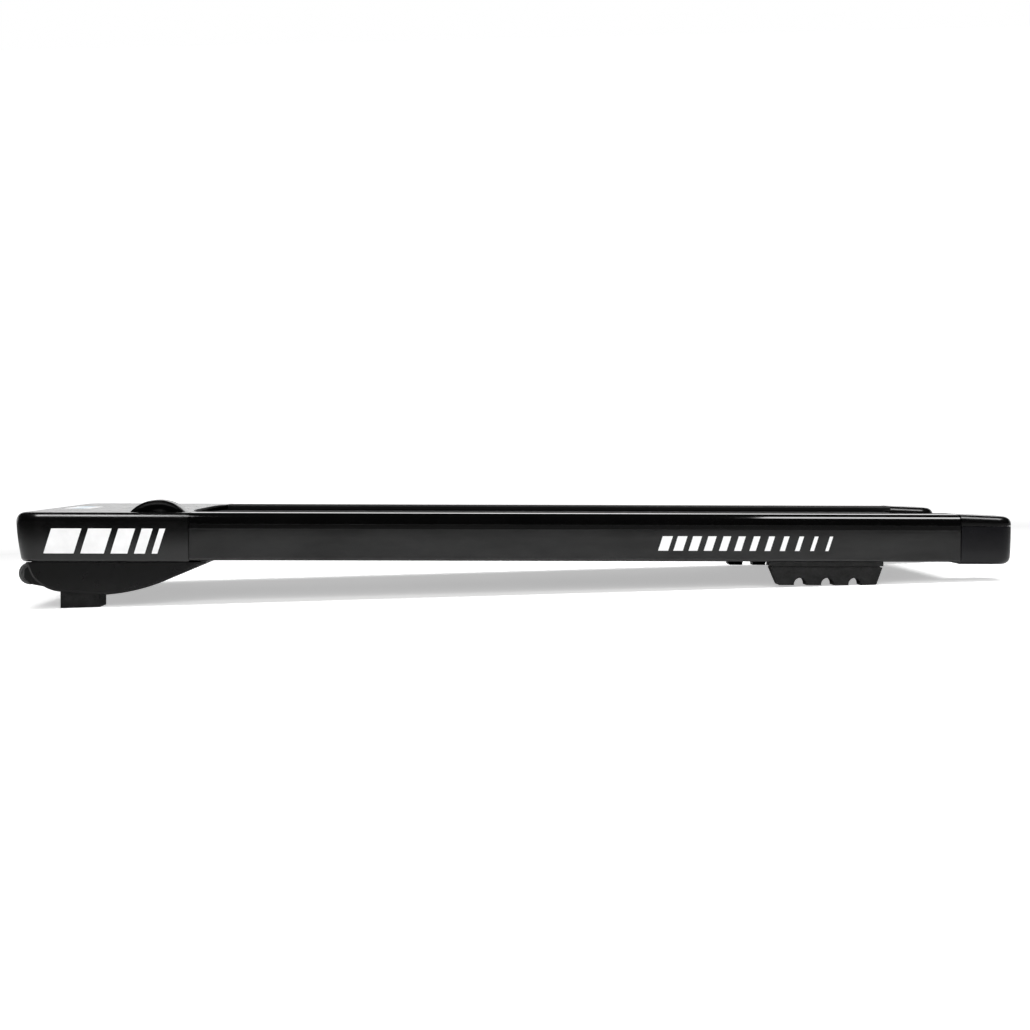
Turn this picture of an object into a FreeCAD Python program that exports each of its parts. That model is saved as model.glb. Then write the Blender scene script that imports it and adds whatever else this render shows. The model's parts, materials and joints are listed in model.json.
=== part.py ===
import FreeCAD, Part

import math
import os

from FreeCAD import Vector

# Flat walking treadmill (walking pad) with a motor hood at its front end.
# It is drawn level with its deck: X runs from the hood (-X) to the rear end (+X), Y is across,
# with the user's left at -Y, and Z is up from the underside of the side rails.
# The feet make the real pad stand nose-up, so at the end every piece is turned by INCLINE
# and moved to put the floor at Z = 0, under the middle of the whole.

# ---------------------------------------------------------------- driving dimensions (mm, degrees)
INCLINE = 1.8
HALF_WIDTH = 250.0
HOOD_FRONT = -605.5
HOOD_REAR = -393.0
RAIL_REAR = 539.3
CAP_REAR = 604.0
TOP = 57.0
WALL = 3.0

RAIL_INNER = 218.0
RAIL_TUBE_TOP = 50.0
RAIL_FACE_TOP = 38.0
RAIL_STEP = 3.5
RAIL_WALL = 2.5
COVER_INNER = 168.0
SHOULDER_R = 13.0

HOOD_BOTTOM = -2.3
HOOD_LEAN = 6.0
HOOD_CORNER_R = 32.0
HOOD_TOP_R = 12.0
HOOD_BOTTOM_R = 6.0
HOOD_FLANGE = 12.0
HOOD_BOW = 10.0
BULGE_R = 45.5
BULGE_Y = (-209.0, -173.0)

ROLLER_X = -435.5
ROLLER_Z = 26.1
ROLLER_R = 21.5
ROLLER_WALL = 3.0
REAR_ROLLER_X = 528.0
BELT_GAP = 0.3
BELT_T = 1.6
BELT_HALF = 170.0
SHAFT_R = 7.5
RUN_FIT = 0.05
BEARING_R = 16.0
BEARING_W = 9.0

PULLEY_R = 34.0
PULLEY_Y = (-202.0, -182.0)
DRIVE_BELT_Y = (-200.0, -184.0)
DRIVE_BELT_T = 2.5
MOTOR_X = -530.0
MOTOR_Z = 9.0
MOTOR_R = 36.0
MOTOR_Y = (-165.0, -15.0)
MOTOR_SHAFT_R = 6.0
MOTOR_PULLEY_R = 10.0

DECK_X = (-402.0, 496.0)
DECK_HALF = 207.0
DECK_T = 15.0
CROSS_X = (-365.0, -150.0, 60.0, 270.0, 462.0)
CROSS_TUBES = ["cross_tube_%d" % number for number in range(1, len(CROSS_X) + 1)]
CROSS_W = 40.0
CROSS_Z = (8.0, 28.0)

PLATE_T = 4.0
TRAY_X = (-548.0, -458.0)
TRAY_Z = (-33.0, -30.5)

BELLY_HALF = 244.0
BELLY_TOP = -2.8
FOOT_X = (-549.0, -501.0)
FOOT_Y = (-236.0, -187.0)
REAR_FOOT_X = (307.0, 445.0)
REAR_FOOT_BOTTOM = -28.4
REAR_FOOT_REST_X = 418.0
NOTCH_R = 7.7
NOTCH_X = (344.2, 377.3, 410.4)

WHEEL_X = -586.0
WHEEL_Z = -17.1
WHEEL_R = 13.4
WHEEL_Y = (-231.0, -213.0)
WHEEL_AXLE_R = 3.0
POCKET_Y = (-237.0, -207.0)
POCKET_REAR = -564.0

PANEL_Z = 22.0
INLET_Y = 120.0
SWITCH_Y = 163.0
BREAKER_Y = 190.0
DISPLAY_X = (-580.0, -544.0)
DISPLAY_HALF = 58.0

DECK_TOP = ROLLER_Z + ROLLER_R + BELT_GAP
DECK_BOTTOM = DECK_TOP - DECK_T
BELT_TOP = DECK_TOP + BELT_T
SLOPE = math.tan(math.radians(INCLINE))
LEAN_PER_MM = HOOD_LEAN / (TOP - HOOD_BOTTOM)


# ---------------------------------------------------------------- small drawing helpers
def block(x, y, z):
    """A box given as three (low, high) pairs."""
    corner = Vector(x[0], y[0], z[0])
    return Part.makeBox(x[1] - x[0], y[1] - y[0], z[1] - z[0], corner)


def rod(radius, start, end):
    """A round bar from one point to another."""
    start = Vector(*start)
    run = Vector(*end) - start
    return Part.makeCylinder(radius, run.Length, start, run)


def rounded_wire(corners, place):
    """A closed wire round 2D corners (a, b) or (a, b, radius); place() puts a 2D point in space."""
    edges = []
    arcs = []
    for i, corner in enumerate(corners):
        here = Vector(corner[0], corner[1], 0)
        radius = corner[2] if len(corner) > 2 else 0
        if radius == 0:
            arcs.append((here, None, here))
            continue
        before = Vector(corners[i - 1][0], corners[i - 1][1], 0) - here
        after_corner = corners[(i + 1) % len(corners)]
        after = Vector(after_corner[0], after_corner[1], 0) - here
        before.normalize()
        after.normalize()
        half = before.getAngle(after) / 2
        inward = before + after
        inward.normalize()
        setback = radius / math.tan(half)
        middle = here + inward * (radius / math.sin(half) - radius)
        arcs.append((here + before * setback, middle, here + after * setback))
    for i, (entry, middle, leave) in enumerate(arcs):
        last = arcs[i - 1][2]
        if last.distanceToPoint(entry) > 1e-6:
            edges.append(Part.makeLine(place(last), place(entry)))
        if middle is not None:
            edges.append(Part.Arc(place(entry), place(middle), place(leave)).toShape())
    return Part.Wire(edges)


def prism_y(corners, y):
    """An XZ outline carried along Y from y[0] to y[1]."""
    wire = rounded_wire(corners, lambda p: Vector(p.x, y[0], p.y))
    return Part.Face(wire).extrude(Vector(0, y[1] - y[0], 0))


def prism_x(corners, x):
    """A YZ outline carried along X."""
    wire = rounded_wire(corners, lambda p: Vector(x[0], p.x, p.y))
    return Part.Face(wire).extrude(Vector(x[1] - x[0], 0, 0))


def prism_z(corners, z):
    """An XY outline carried along Z."""
    wire = rounded_wire(corners, lambda p: Vector(p.x, p.y, z[0]))
    return Part.Face(wire).extrude(Vector(0, 0, z[1] - z[0]))


def turned(profile, x, z):
    """A (radius, y) outline turned about the line through (x, z) along Y."""
    wire = rounded_wire(profile, lambda p: Vector(x + p.x, p.y, z))
    return Part.Face(wire).revolve(Vector(x, 0, z), Vector(0, 1, 0), 360)


def mirrored(shape):
    """The same piece on the other side of the pad."""
    return shape.mirror(Vector(0, 0, 0), Vector(0, 1, 0))


def group(shapes):
    """Separate solids that share one node."""
    return Part.makeCompound(shapes)


def fused(first, *others):
    return first.multiFuse(list(others)).removeSplitter()


def edges_where(shape, test):
    """Edges whose vertices all pass the test."""
    return [edge for edge in shape.Edges if all(test(vertex.Point) for vertex in edge.Vertexes)]


def floor_z(x):
    """Height of the floor below the level deck."""
    return REAR_FOOT_BOTTOM + SLOPE * (x - REAR_FOOT_REST_X)


def below_floor():
    far = 900.0
    deep = -300.0
    corners = [(-far, floor_z(-far)), (far, floor_z(far)), (far, deep), (-far, deep)]
    return prism_y(corners, (-far, far))


def band(first, second, gap, thickness, y):
    """A belt round two pulleys, each given as (x, z, radius), running gap clear of both."""

    def loop(extra):
        (x1, z1, r1), (x2, z2, r2) = first, second
        r1 += extra
        r2 += extra
        heading = math.atan2(z2 - z1, x2 - x1)
        spread = math.acos((r1 - r2) / math.hypot(x2 - x1, z2 - z1))

        def on(x, z, r, angle):
            return Vector(x + r * math.cos(angle), y[0], z + r * math.sin(angle))

        upper = (on(x1, z1, r1, heading + spread), on(x2, z2, r2, heading + spread))
        lower = (on(x1, z1, r1, heading - spread), on(x2, z2, r2, heading - spread))
        back = on(x1, z1, r1, heading + math.pi)
        front = on(x2, z2, r2, heading)
        edges = [
            Part.makeLine(*upper),
            Part.Arc(upper[1], front, lower[1]).toShape(),
            Part.makeLine(lower[1], lower[0]),
            Part.Arc(lower[0], back, upper[0]).toShape(),
        ]
        return Part.Face(Part.Wire(edges)).extrude(Vector(0, y[1] - y[0], 0))

    return loop(gap + thickness).cut(loop(gap))


def lead(radius, points):
    """A wire: straight runs joined by tangent arcs as large as the runs allow."""
    points = [Vector(*point) for point in points]
    edges = []
    start = points[0]
    for before, here, after in zip(points, points[1:], points[2:]):
        towards = (before - here).normalize()
        away = (after - here).normalize()
        half = towards.getAngle(away) / 2
        reach = 0.45 * min((before - here).Length, (after - here).Length)
        bend = reach * math.tan(half)
        inward = (towards + away).normalize()
        middle = here + inward * (bend / math.sin(half) - bend)
        entry = here + towards * reach
        leave = here + away * reach
        edges.append(Part.makeLine(start, entry))
        edges.append(Part.Arc(entry, middle, leave).toShape())
        start = leave
    edges.append(Part.makeLine(start, points[-1]))
    path = Part.Wire(edges)
    section = Part.Wire(Part.makeCircle(radius, points[0], points[1] - points[0]))
    return path.makePipeShell([section], True, False)


# ---------------------------------------------------------------- hood, belly and front end
def hood_body(inset, rear):
    """The hood's outer form, or its inside when inset is the wall: closed, and square at the rear."""
    half = HALF_WIDTH - inset
    corner = HOOD_CORNER_R - inset
    low = HOOD_BOTTOM + inset
    high = TOP - inset

    def plan(z):
        front = HOOD_FRONT + inset + LEAN_PER_MM * (TOP - z)
        corners = [(rear, -half), (front, -half, corner), (front, half, corner), (rear, half)]
        return rounded_wire(corners, lambda p: Vector(p.x, p.y, z))

    body = Part.makeLoft([plan(low), plan(high)], True, True)
    off_rear = rear - 1.0
    top_edges = edges_where(body, lambda p: p.z > high - 0.01 and p.x <= rear)
    top_edges = [e for e in top_edges if e.BoundBox.XMin < off_rear]
    body = body.makeFillet(HOOD_TOP_R - inset, top_edges)
    low_edges = edges_where(body, lambda p: p.z < low + 0.01)
    low_edges = [e for e in low_edges if e.BoundBox.XMin < off_rear]
    return body.makeFillet(HOOD_BOTTOM_R - inset, low_edges)


def behind_hood():
    """Everything behind the hood's rear edge, which bows forward over the belt."""
    far = 100.0
    side = HALF_WIDTH + far
    left = Vector(HOOD_REAR, -COVER_INNER, -far)
    right = Vector(HOOD_REAR, COVER_INNER, -far)
    bow = Vector(HOOD_REAR - HOOD_BOW, 0, -far)
    corners = [right, Vector(HOOD_REAR, side, -far), Vector(far, side, -far), Vector(far, -side, -far)]
    corners += [Vector(HOOD_REAR, -side, -far), left]
    edges = [Part.makeLine(a, b) for a, b in zip(corners, corners[1:])]
    edges.append(Part.Arc(left, bow, right).toShape())
    return Part.Face(Part.Wire(edges)).extrude(Vector(0, 0, 3 * far))


def bulge(inset):
    """The rounded housing over the drive pulley."""
    y = (BULGE_Y[0] + inset, BULGE_Y[1] - inset)
    drum = rod(BULGE_R - inset, (ROLLER_X, y[0], ROLLER_Z), (ROLLER_X, y[1], ROLLER_Z))
    if inset == 0:
        drum = drum.makeFillet(2.0, drum.Edges[0:1] + drum.Edges[2:3])
    keep = block((ROLLER_X - BULGE_R, ROLLER_X + BULGE_R), BULGE_Y, (TOP - WALL, TOP + BULGE_R))
    return drum.common(keep)


HOOD_BOSSES = ((-578.0, -75.0), (-578.0, 75.0), (-407.0, -232.0), (-407.0, 232.0))
BOSS_R = 5.0


def hood_cover():
    rear = HOOD_REAR + 40.0
    outer = hood_body(0.0, rear)
    inner = hood_body(WALL, rear + 20.0)
    opening_half = HALF_WIDTH - HOOD_FLANGE
    opening_front = HOOD_FRONT + HOOD_LEAN + HOOD_FLANGE
    corner = HOOD_CORNER_R - HOOD_FLANGE
    mouth = [
        (rear + 20.0, -opening_half),
        (opening_front, -opening_half, corner),
        (opening_front, opening_half, corner),
        (rear + 20.0, opening_half),
    ]
    shell = outer.cut(inner)
    shell = shell.cut(prism_z(mouth, (HOOD_BOTTOM - 10.0, HOOD_BOTTOM + 2 * WALL)))
    shell = shell.fuse(bulge(0.0)).cut(bulge_hollow())
    shell = shell.cut(behind_hood())
    for x, y in HOOD_BOSSES:
        shell = shell.fuse(rod(BOSS_R, (x, y, BELLY_TOP), (x, y, TOP - WALL / 2)))
    window = block(DISPLAY_X, (-DISPLAY_HALF, DISPLAY_HALF), (TOP - 2.0, TOP + 1.0))
    sill = 3.0
    glass_x = (DISPLAY_X[0] + sill, DISPLAY_X[1] - sill)
    through = block(glass_x, (sill - DISPLAY_HALF, DISPLAY_HALF - sill), (TOP - 6.0, TOP))
    shell = shell.cut(window).cut(through)
    for cutter in panel_cutters():
        shell = shell.cut(cutter)
    return shell.removeSplitter()


def bulge_hollow():
    """Room for the pulley inside the bulge, open to the hood below."""
    y = (BULGE_Y[0] + WALL, BULGE_Y[1] - WALL)
    drum = rod(BULGE_R - WALL, (ROLLER_X, y[0], ROLLER_Z), (ROLLER_X, y[1], ROLLER_Z))
    keep = block((ROLLER_X - BULGE_R, ROLLER_X + BULGE_R), BULGE_Y, (TOP - 2 * WALL, TOP + BULGE_R))
    return drum.common(keep)


def belly_profile():
    """Side view of the belly: a steep rounded bow, a shallow keel and a long rising stern."""
    bow_top = Vector(-588.5, 0, BELLY_TOP)
    bow_low = Vector(-582.0, 0, -18.5)
    bow_mid = Vector(-571.0, 0, -29.8)
    keel_front = Vector(-549.0, 0, -38.3)
    keel_rear = Vector(-492.0, 0, -42.0)
    stern_mid = Vector(-440.5, 0, -32.0)
    stern_top = Vector(-380.6, 0, BELLY_TOP)
    edges = [
        Part.makeLine(bow_top, bow_low),
        Part.Arc(bow_low, bow_mid, keel_front).toShape(),
        Part.makeLine(keel_front, keel_rear),
        Part.Arc(keel_rear, stern_mid, stern_top).toShape(),
        Part.makeLine(stern_top, bow_top),
    ]
    return Part.Face(Part.Wire(edges))


def belly_body(inset):
    face = belly_profile()
    if inset:
        face = face.makeOffset2D(-inset)
    half = BELLY_HALF - inset
    face.translate(Vector(0, -half, 0))
    return face.extrude(Vector(0, 2 * half, 0))


def belly_outer():
    body = belly_body(0.0)
    rims = [e for e in body.Edges if abs(e.BoundBox.YMax - e.BoundBox.YMin) < 0.01]
    rims = [e for e in rims if e.BoundBox.ZMin < BELLY_TOP - 1.0]
    return body.makeChamfer(2.5, rims)


def belly_pan():
    outer = belly_outer()
    shell = outer.cut(belly_body(WALL))
    rim = 10.0
    mouth_half = BELLY_HALF - rim
    mouth = block((-576.0, -398.0), (-mouth_half, mouth_half), (BELLY_TOP - 2 * WALL, 1.0))
    shell = shell.cut(mouth)
    pocket_x = (HOOD_FRONT, POCKET_REAR)
    wall_y = (POCKET_Y[0] - WALL, POCKET_Y[1] + WALL)
    for flip in (False, True):
        housing = block((pocket_x[0], pocket_x[1] + WALL), wall_y, (-60.0, BELLY_TOP)).common(outer)
        room = block(pocket_x, POCKET_Y, (-70.0, 5.0))
        if flip:
            housing = mirrored(housing)
            room = mirrored(room)
        shell = shell.fuse(housing).cut(room)
    for x, y in HOOD_BOSSES:
        boss = rod(BOSS_R, (x, y, -60.0), (x, y, BELLY_TOP)).common(outer)
        shell = shell.fuse(boss)
    return shell.removeSplitter()


def display_window():
    edge = 0.1
    x = (DISPLAY_X[0] + edge, DISPLAY_X[1] - edge)
    y = (edge - DISPLAY_HALF, DISPLAY_HALF - edge)
    return block(x, y, (TOP - 2.0, TOP - 0.1))


def display_board():
    board = block((-585.0, -539.0), (-62.0, 62.0), (48.4, 50.0))
    digits = [block((-571.0, -553.0), (y, y + 22.0), (50.0, 54.0)) for y in (-50.0, -24.0, 2.0, 28.0)]
    return fused(board, *digits)


def front_foot():
    body = block(FOOT_X, FOOT_Y, (-80.0, -34.0))
    uprights = [e for e in body.Edges if e.BoundBox.ZLength > 1.0]
    body = body.makeFillet(4.0, uprights)
    body = body.cut(below_floor()).cut(belly_outer())
    return max(body.Solids, key=lambda solid: solid.Volume)


def wheel_bracket():
    ear = [
        (POCKET_REAR, -3.6),
        (-577.0, -3.6, 2.0),
        (-591.0, -11.0, 5.0),
        (-591.5, -22.0, 5.0),
        (-583.0, -29.8, 2.0),
        (POCKET_REAR, -33.2),
    ]
    ear_t = 3.0
    near = prism_y(ear, (POCKET_Y[0], POCKET_Y[0] + ear_t))
    far = prism_y(ear, (POCKET_Y[1] - ear_t, POCKET_Y[1]))
    web = block((POCKET_REAR - 3.0, POCKET_REAR), POCKET_Y, (-33.2, -3.6))
    hole = rod(WHEEL_AXLE_R, (WHEEL_X, POCKET_Y[0], WHEEL_Z), (WHEEL_X, POCKET_Y[1], WHEEL_Z))
    return fused(near, far, web).cut(hole)


def transport_wheel():
    """Solid tyre with a shallow tread groove and hollowed faces."""
    y0, y1 = WHEEL_Y
    bore = WHEEL_AXLE_R + RUN_FIT
    mid = (y0 + y1) / 2
    profile = [
        (bore, y0),
        (6.0, y0, 0.5),
        (6.0, y0 + 2.0, 0.5),
        (10.0, y0 + 2.0, 0.5),
        (10.0, y0, 0.5),
        (WHEEL_R, y0, 1.5),
        (WHEEL_R, mid - 1.0, 0.3),
        (WHEEL_R - 0.8, mid),
        (WHEEL_R, mid + 1.0, 0.3),
        (WHEEL_R, y1, 1.5),
        (10.0, y1, 0.5),
        (10.0, y1 - 2.0, 0.5),
        (6.0, y1 - 2.0, 0.5),
        (6.0, y1, 0.5),
        (bore, y1),
    ]
    return turned(profile, WHEEL_X, WHEEL_Z)


def wheel_axle():
    return rod(WHEEL_AXLE_R, (WHEEL_X, POCKET_Y[0], WHEEL_Z), (WHEEL_X, POCKET_Y[1], WHEEL_Z))


# ---------------------------------------------------------------- the mains panel on the hood's front face
def panel_place(y):
    """Local +Z points out of the leaning front face, local +Y up it."""
    x = HOOD_FRONT + LEAN_PER_MM * (TOP - PANEL_Z)
    up = Vector(-LEAN_PER_MM, 0, 1).normalize()
    out = Vector(-1, 0, -LEAN_PER_MM).normalize()
    side = up.cross(out)
    matrix = FreeCAD.Matrix(
        side.x, up.x, out.x, x, side.y, up.y, out.y, y, side.z, up.z, out.z, PANEL_Z, 0, 0, 0, 1
    )
    return FreeCAD.Placement(matrix)


def on_panel(shape, y):
    shape.Placement = panel_place(y)
    return shape.copy()


def centred(width, height, low, high):
    """A box round the local Z axis."""
    return block((-width / 2, width / 2), (-height / 2, height / 2), (low, high))


INLET_BODY = (28.0, 20.0, 25.0)
SWITCH_BODY = (20.0, 13.0, 16.0)
BREAKER_THREAD_R = 6.0
BREAKER_BUTTON_R = 4.0
BREAKER_COLLAR = 1.6
BREAKER_TRAVEL = 1.5


def panel_cutters():
    """Openings in the hood's wall for the inlet, the switch and the breaker."""
    depth = 8.0
    inlet = on_panel(centred(INLET_BODY[0], INLET_BODY[1], -depth, depth), INLET_Y)
    switch = on_panel(centred(SWITCH_BODY[0], SWITCH_BODY[1], -depth, depth), SWITCH_Y)
    breaker = on_panel(Part.makeCylinder(BREAKER_THREAD_R, 2 * depth, Vector(0, 0, -depth)), BREAKER_Y)
    return [inlet, switch, breaker]


def power_inlet():
    """Three-pin mains socket: flange, cup and pins in one moulding."""
    width, height, depth = INLET_BODY
    flange = centred(44.0, 26.0, 0.0, 2.4)
    flange = flange.makeFillet(4.0, [e for e in flange.Edges if e.BoundBox.ZLength > 1.0])
    body = centred(width, height, -depth, 0.0)
    wall = 2.0
    cup = centred(width - 2 * wall, height - 2 * wall, -18.0, 3.0)
    shape = fused(flange, body).cut(cup)
    pin_places = ((-7, -1), (0, 2), (7, -1))
    pins = [block((x - 1.0, x + 1.0), (y - 2.0, y + 2.0), (-18.0, -9.0)) for x, y in pin_places]
    return on_panel(fused(shape, *pins), INLET_Y)


def switch_frame():
    width, height, depth = SWITCH_BODY
    rim = centred(width + 4.0, height + 4.0, 0.0, 1.8)
    rim = rim.makeFillet(1.5, [e for e in rim.Edges if e.BoundBox.ZLength > 1.0])
    body = centred(width, height, -depth, 0.0)
    well = centred(width - 3.0, height - 3.0, -9.0, 3.0)
    return on_panel(fused(rim, body).cut(well), SWITCH_Y)


ROCKER_TILT = 12.0
ROCKER_PIVOT = -1.5


def switch_rocker():
    """A shallow V-topped rocker resting tipped to its off side."""
    half = 7.6
    corners = [(-half, 3.0, 0.8), (0.0, 1.8), (half, 3.0, 0.8), (half - 1.6, -3.2, 1.0), (0.0, -5.0, 2.0)]
    corners.append((1.6 - half, -3.2, 1.0))
    width = 9.2
    wire = rounded_wire(corners, lambda p: Vector(p.x, -width / 2, p.y))
    body = Part.Face(wire).extrude(Vector(0, width, 0))
    body.rotate(Vector(0, 0, ROCKER_PIVOT), Vector(0, 1, 0), ROCKER_TILT / 2)
    return on_panel(body, SWITCH_Y)


def breaker_body():
    collar = Part.makeCylinder(9.0, BREAKER_COLLAR)
    thread = Part.makeCylinder(BREAKER_THREAD_R, 8.0, Vector(0, 0, -8.0))
    case = centred(13.0, 17.0, -26.0, -8.0)
    bore = Part.makeCylinder(BREAKER_BUTTON_R + RUN_FIT, 12.0, Vector(0, 0, -8.0))
    return on_panel(fused(collar, thread, case).cut(bore), BREAKER_Y)


def breaker_button():
    """Proud of its collar by a little more than its travel."""
    low = BREAKER_TRAVEL + 0.5 - 8.0
    high = BREAKER_COLLAR + BREAKER_TRAVEL + 0.3
    button = Part.makeCylinder(BREAKER_BUTTON_R, high - low, Vector(0, 0, low))
    rim = [edge for edge in button.Edges if edge.BoundBox.ZMin > high - 0.1]
    return on_panel(button.makeFillet(0.8, rim), BREAKER_Y)


# ---------------------------------------------------------------- chassis, motor and electronics
def chassis_plate():
    corners = [
        (-560.0, TRAY_Z[1], 4.0),
        (-452.0, TRAY_Z[1], 4.0),
        (-405.0, -8.0, 10.0),
        (-388.0, 6.0, 6.0),
        (-300.0, 6.0, 4.0),
        (-300.0, 46.0, 4.0),
        (-560.0, 46.0, 10.0),
    ]
    plate = prism_y(corners, (-RAIL_INNER, PLATE_T - RAIL_INNER))
    shaft = rod(SHAFT_R, (ROLLER_X, -RAIL_INNER, ROLLER_Z), (ROLLER_X, PLATE_T - RAIL_INNER, ROLLER_Z))
    return plate.cut(shaft)


def motor_tray():
    """Bent steel floor of the motor bay, with an upturned edge at the front and rear."""
    t = TRAY_Z[1] - TRAY_Z[0]
    half = 236.0
    floor = block(TRAY_X, (-half, half), TRAY_Z)
    lip_y = (-205.0, 205.0)
    lip_z = (TRAY_Z[0], TRAY_Z[0] + 6.0)
    front = block((TRAY_X[0], TRAY_X[0] + t), lip_y, lip_z)
    rear = block((TRAY_X[1] - t, TRAY_X[1]), lip_y, lip_z)
    return fused(floor, front, rear)


def motor_line(radius, y0, y1):
    return rod(radius, (MOTOR_X, y0, MOTOR_Z), (MOTOR_X, y1, MOTOR_Z))


def motor_casing():
    y0, y1 = MOTOR_Y
    can = motor_line(MOTOR_R, y0, y1)
    rims = [e for e in can.Edges if e.BoundBox.YLength < 0.01]
    can = can.makeFillet(3.0, rims)
    can = can.cut(motor_line(MOTOR_R - WALL, y0 + 6.0, y1 - 6.0))
    nose = motor_line(13.0, y0 - 5.0, y0 + 1.0)
    return fused(can, nose).cut(motor_line(MOTOR_SHAFT_R + RUN_FIT, y0 - 10.0, y1 + 10.0))


def motor_rotor():
    y0, y1 = MOTOR_Y
    return fused(motor_line(MOTOR_SHAFT_R, PULLEY_Y[0] - 3.0, y1), motor_line(26.0, y0 + 20.0, y1 - 20.0))


def grooved_pulley(radius, bore, x, z):
    """Poly-V pulley with a flange at each side."""
    y0, y1 = PULLEY_Y
    flange = 1.5
    rib = 2.6
    profile = [(bore, y0), (radius + 1.2, y0, 0.4), (radius + 1.2, y0 + flange)]
    ribs = 6
    first = (y0 + y1) / 2 - ribs * rib / 2
    profile.append((radius, y0 + flange))
    for i in range(ribs):
        profile.append((radius, first + i * rib))
        profile.append((radius - 1.4, first + (i + 0.5) * rib))
    profile.append((radius, first + ribs * rib))
    profile += [(radius, y1 - flange), (radius + 1.2, y1 - flange), (radius + 1.2, y1, 0.4), (bore, y1)]
    return turned(profile, x, z)


def motor_pulley():
    return grooved_pulley(MOTOR_PULLEY_R, MOTOR_SHAFT_R, MOTOR_X, MOTOR_Z)


def motor_cradle():
    """Two saddles on one base plate, bolted to the tray."""
    base_top = TRAY_Z[1] + 3.0
    x = (MOTOR_X - 26.0, MOTOR_X + 26.0)
    base = block((TRAY_X[0] + 4.0, -498.0), (-150.0, -30.0), (TRAY_Z[1], base_top))
    saddle_x = (TRAY_X[0] + 4.0, x[1])
    saddles = [block(saddle_x, (y, y + 22.0), (TRAY_Z[1], MOTOR_Z - 14.0)) for y in (-150.0, -52.0)]
    return fused(base, *saddles).cut(motor_line(MOTOR_R, -200.0, 20.0))


def controller_board():
    y = (30.0, 160.0)
    low = BOARD_TOP - 1.6
    board = block((-536.0, -464.0), y, (low, BOARD_TOP))
    post_places = [(px, py) for px in (-530.0, -470.0) for py in (36.0, 154.0)]
    posts = [rod(3.0, (px, py, TRAY_Z[1]), (px, py, low)) for px, py in post_places]
    cans = [rod(9.0, (-520.0, py, BOARD_TOP), (-520.0, py, 14.0)) for py in (64.0, 86.0, 108.0)]
    relay = block((-502.0, -484.0), (62.0, 92.0), (BOARD_TOP, -4.0))
    choke = block((-502.0, -474.0), (104.0, 132.0), (BOARD_TOP, 4.0))
    return fused(board, relay, choke, *(posts + cans))


def controller_heatsink():
    x = (-536.0, -464.0)
    pitch = 6.5
    first = 163.0
    base = block(x, (first, first + 4 * pitch + 2.0), (TRAY_Z[1], -24.5))
    fins = [block(x, (first + i * pitch, first + i * pitch + 2.0), (-24.5, 8.0)) for i in range(5)]
    return fused(base, *fins)


BOARD_TOP = -20.4


def mains_lead():
    """From the back of the inlet down to the controller."""
    points = [
        (-575.5, 118.0, 24.0),
        (-562.0, 117.0, 26.0),
        (-550.0, 124.0, 19.0),
        (-540.0, 138.0, 9.0),
        (-526.0, 147.0, -3.0),
        (-526.0, 147.0, BOARD_TOP),
    ]
    return lead(3.0, points)


def motor_lead():
    """From the motor's end face over to the controller."""
    points = [
        (-530.0, MOTOR_Y[1], 26.0),
        (-530.0, 2.0, 26.0),
        (-516.0, 18.0, 20.0),
        (-510.0, 33.0, 8.0),
        (-512.0, 43.0, -5.0),
        (-512.0, 43.0, BOARD_TOP),
    ]
    return lead(2.5, points)


def display_lead():
    """From under the display down to the controller."""
    points = [
        (-547.0, 40.0, 48.4),
        (-547.0, 40.0, 38.0),
        (-491.0, 49.0, 27.0),
        (-480.0, 51.0, 13.0),
        (-478.0, 48.0, -3.0),
        (-478.0, 48.0, BOARD_TOP),
    ]
    return lead(1.8, points)


# ---------------------------------------------------------------- rails, deck, rollers and belt
def rail():
    outer_y = -HALF_WIDTH
    step_y = outer_y + RAIL_STEP
    face = RAIL_FACE_TOP
    corners = [
        (outer_y, 0.0, 1.5),
        (outer_y, face),
        (step_y, face),
        (step_y, RAIL_TUBE_TOP, 2.0),
        (-RAIL_INNER, RAIL_TUBE_TOP, 1.5),
        (-RAIL_INNER, 0.0, 1.5),
    ]
    wall = RAIL_WALL
    hollow = [
        (outer_y + wall, wall),
        (outer_y + wall, face - wall),
        (step_y + wall, face - wall),
        (step_y + wall, RAIL_TUBE_TOP - wall),
        (-RAIL_INNER - wall, RAIL_TUBE_TOP - wall),
        (-RAIL_INNER - wall, wall),
    ]
    x = (HOOD_REAR, RAIL_REAR)
    return prism_x(corners, x).cut(prism_x(hollow, x))


def rail_cover():
    """Glossy top moulding: a round shoulder over the rail, a shadow groove and an inner lip."""
    outer_y = -HALF_WIDTH
    step_y = outer_y + RAIL_STEP
    groove = TOP - SHOULDER_R
    lip_bottom = BELT_TOP + 0.8
    corners = [
        (outer_y, RAIL_FACE_TOP),
        (outer_y, groove - 0.8),
        (outer_y + 0.6, groove - 0.4),
        (outer_y, groove),
        (outer_y, TOP, SHOULDER_R),
        (-COVER_INNER, TOP, 2.5),
        (-COVER_INNER, lip_bottom, 0.8),
        (-COVER_INNER - WALL, lip_bottom, 0.8),
        (-COVER_INNER - WALL, TOP - WALL),
        (-RAIL_INNER, TOP - WALL),
        (-RAIL_INNER, RAIL_TUBE_TOP),
        (step_y, RAIL_TUBE_TOP, 2.0),
        (step_y, RAIL_FACE_TOP),
    ]
    return prism_x(corners, (HOOD_REAR, RAIL_REAR))


def cross_tube(x, half):
    wall = 2.0
    low, high = CROSS_Z
    outer = [
        (x - CROSS_W / 2, low, 2.0),
        (x + CROSS_W / 2, low, 2.0),
        (x + CROSS_W / 2, high, 2.0),
        (x - CROSS_W / 2, high, 2.0),
    ]
    hollow = block((x - CROSS_W / 2 + wall, x + CROSS_W / 2 - wall), (-half, half), (low + wall, high - wall))
    return prism_y(outer, (-half, half)).cut(hollow)


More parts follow.
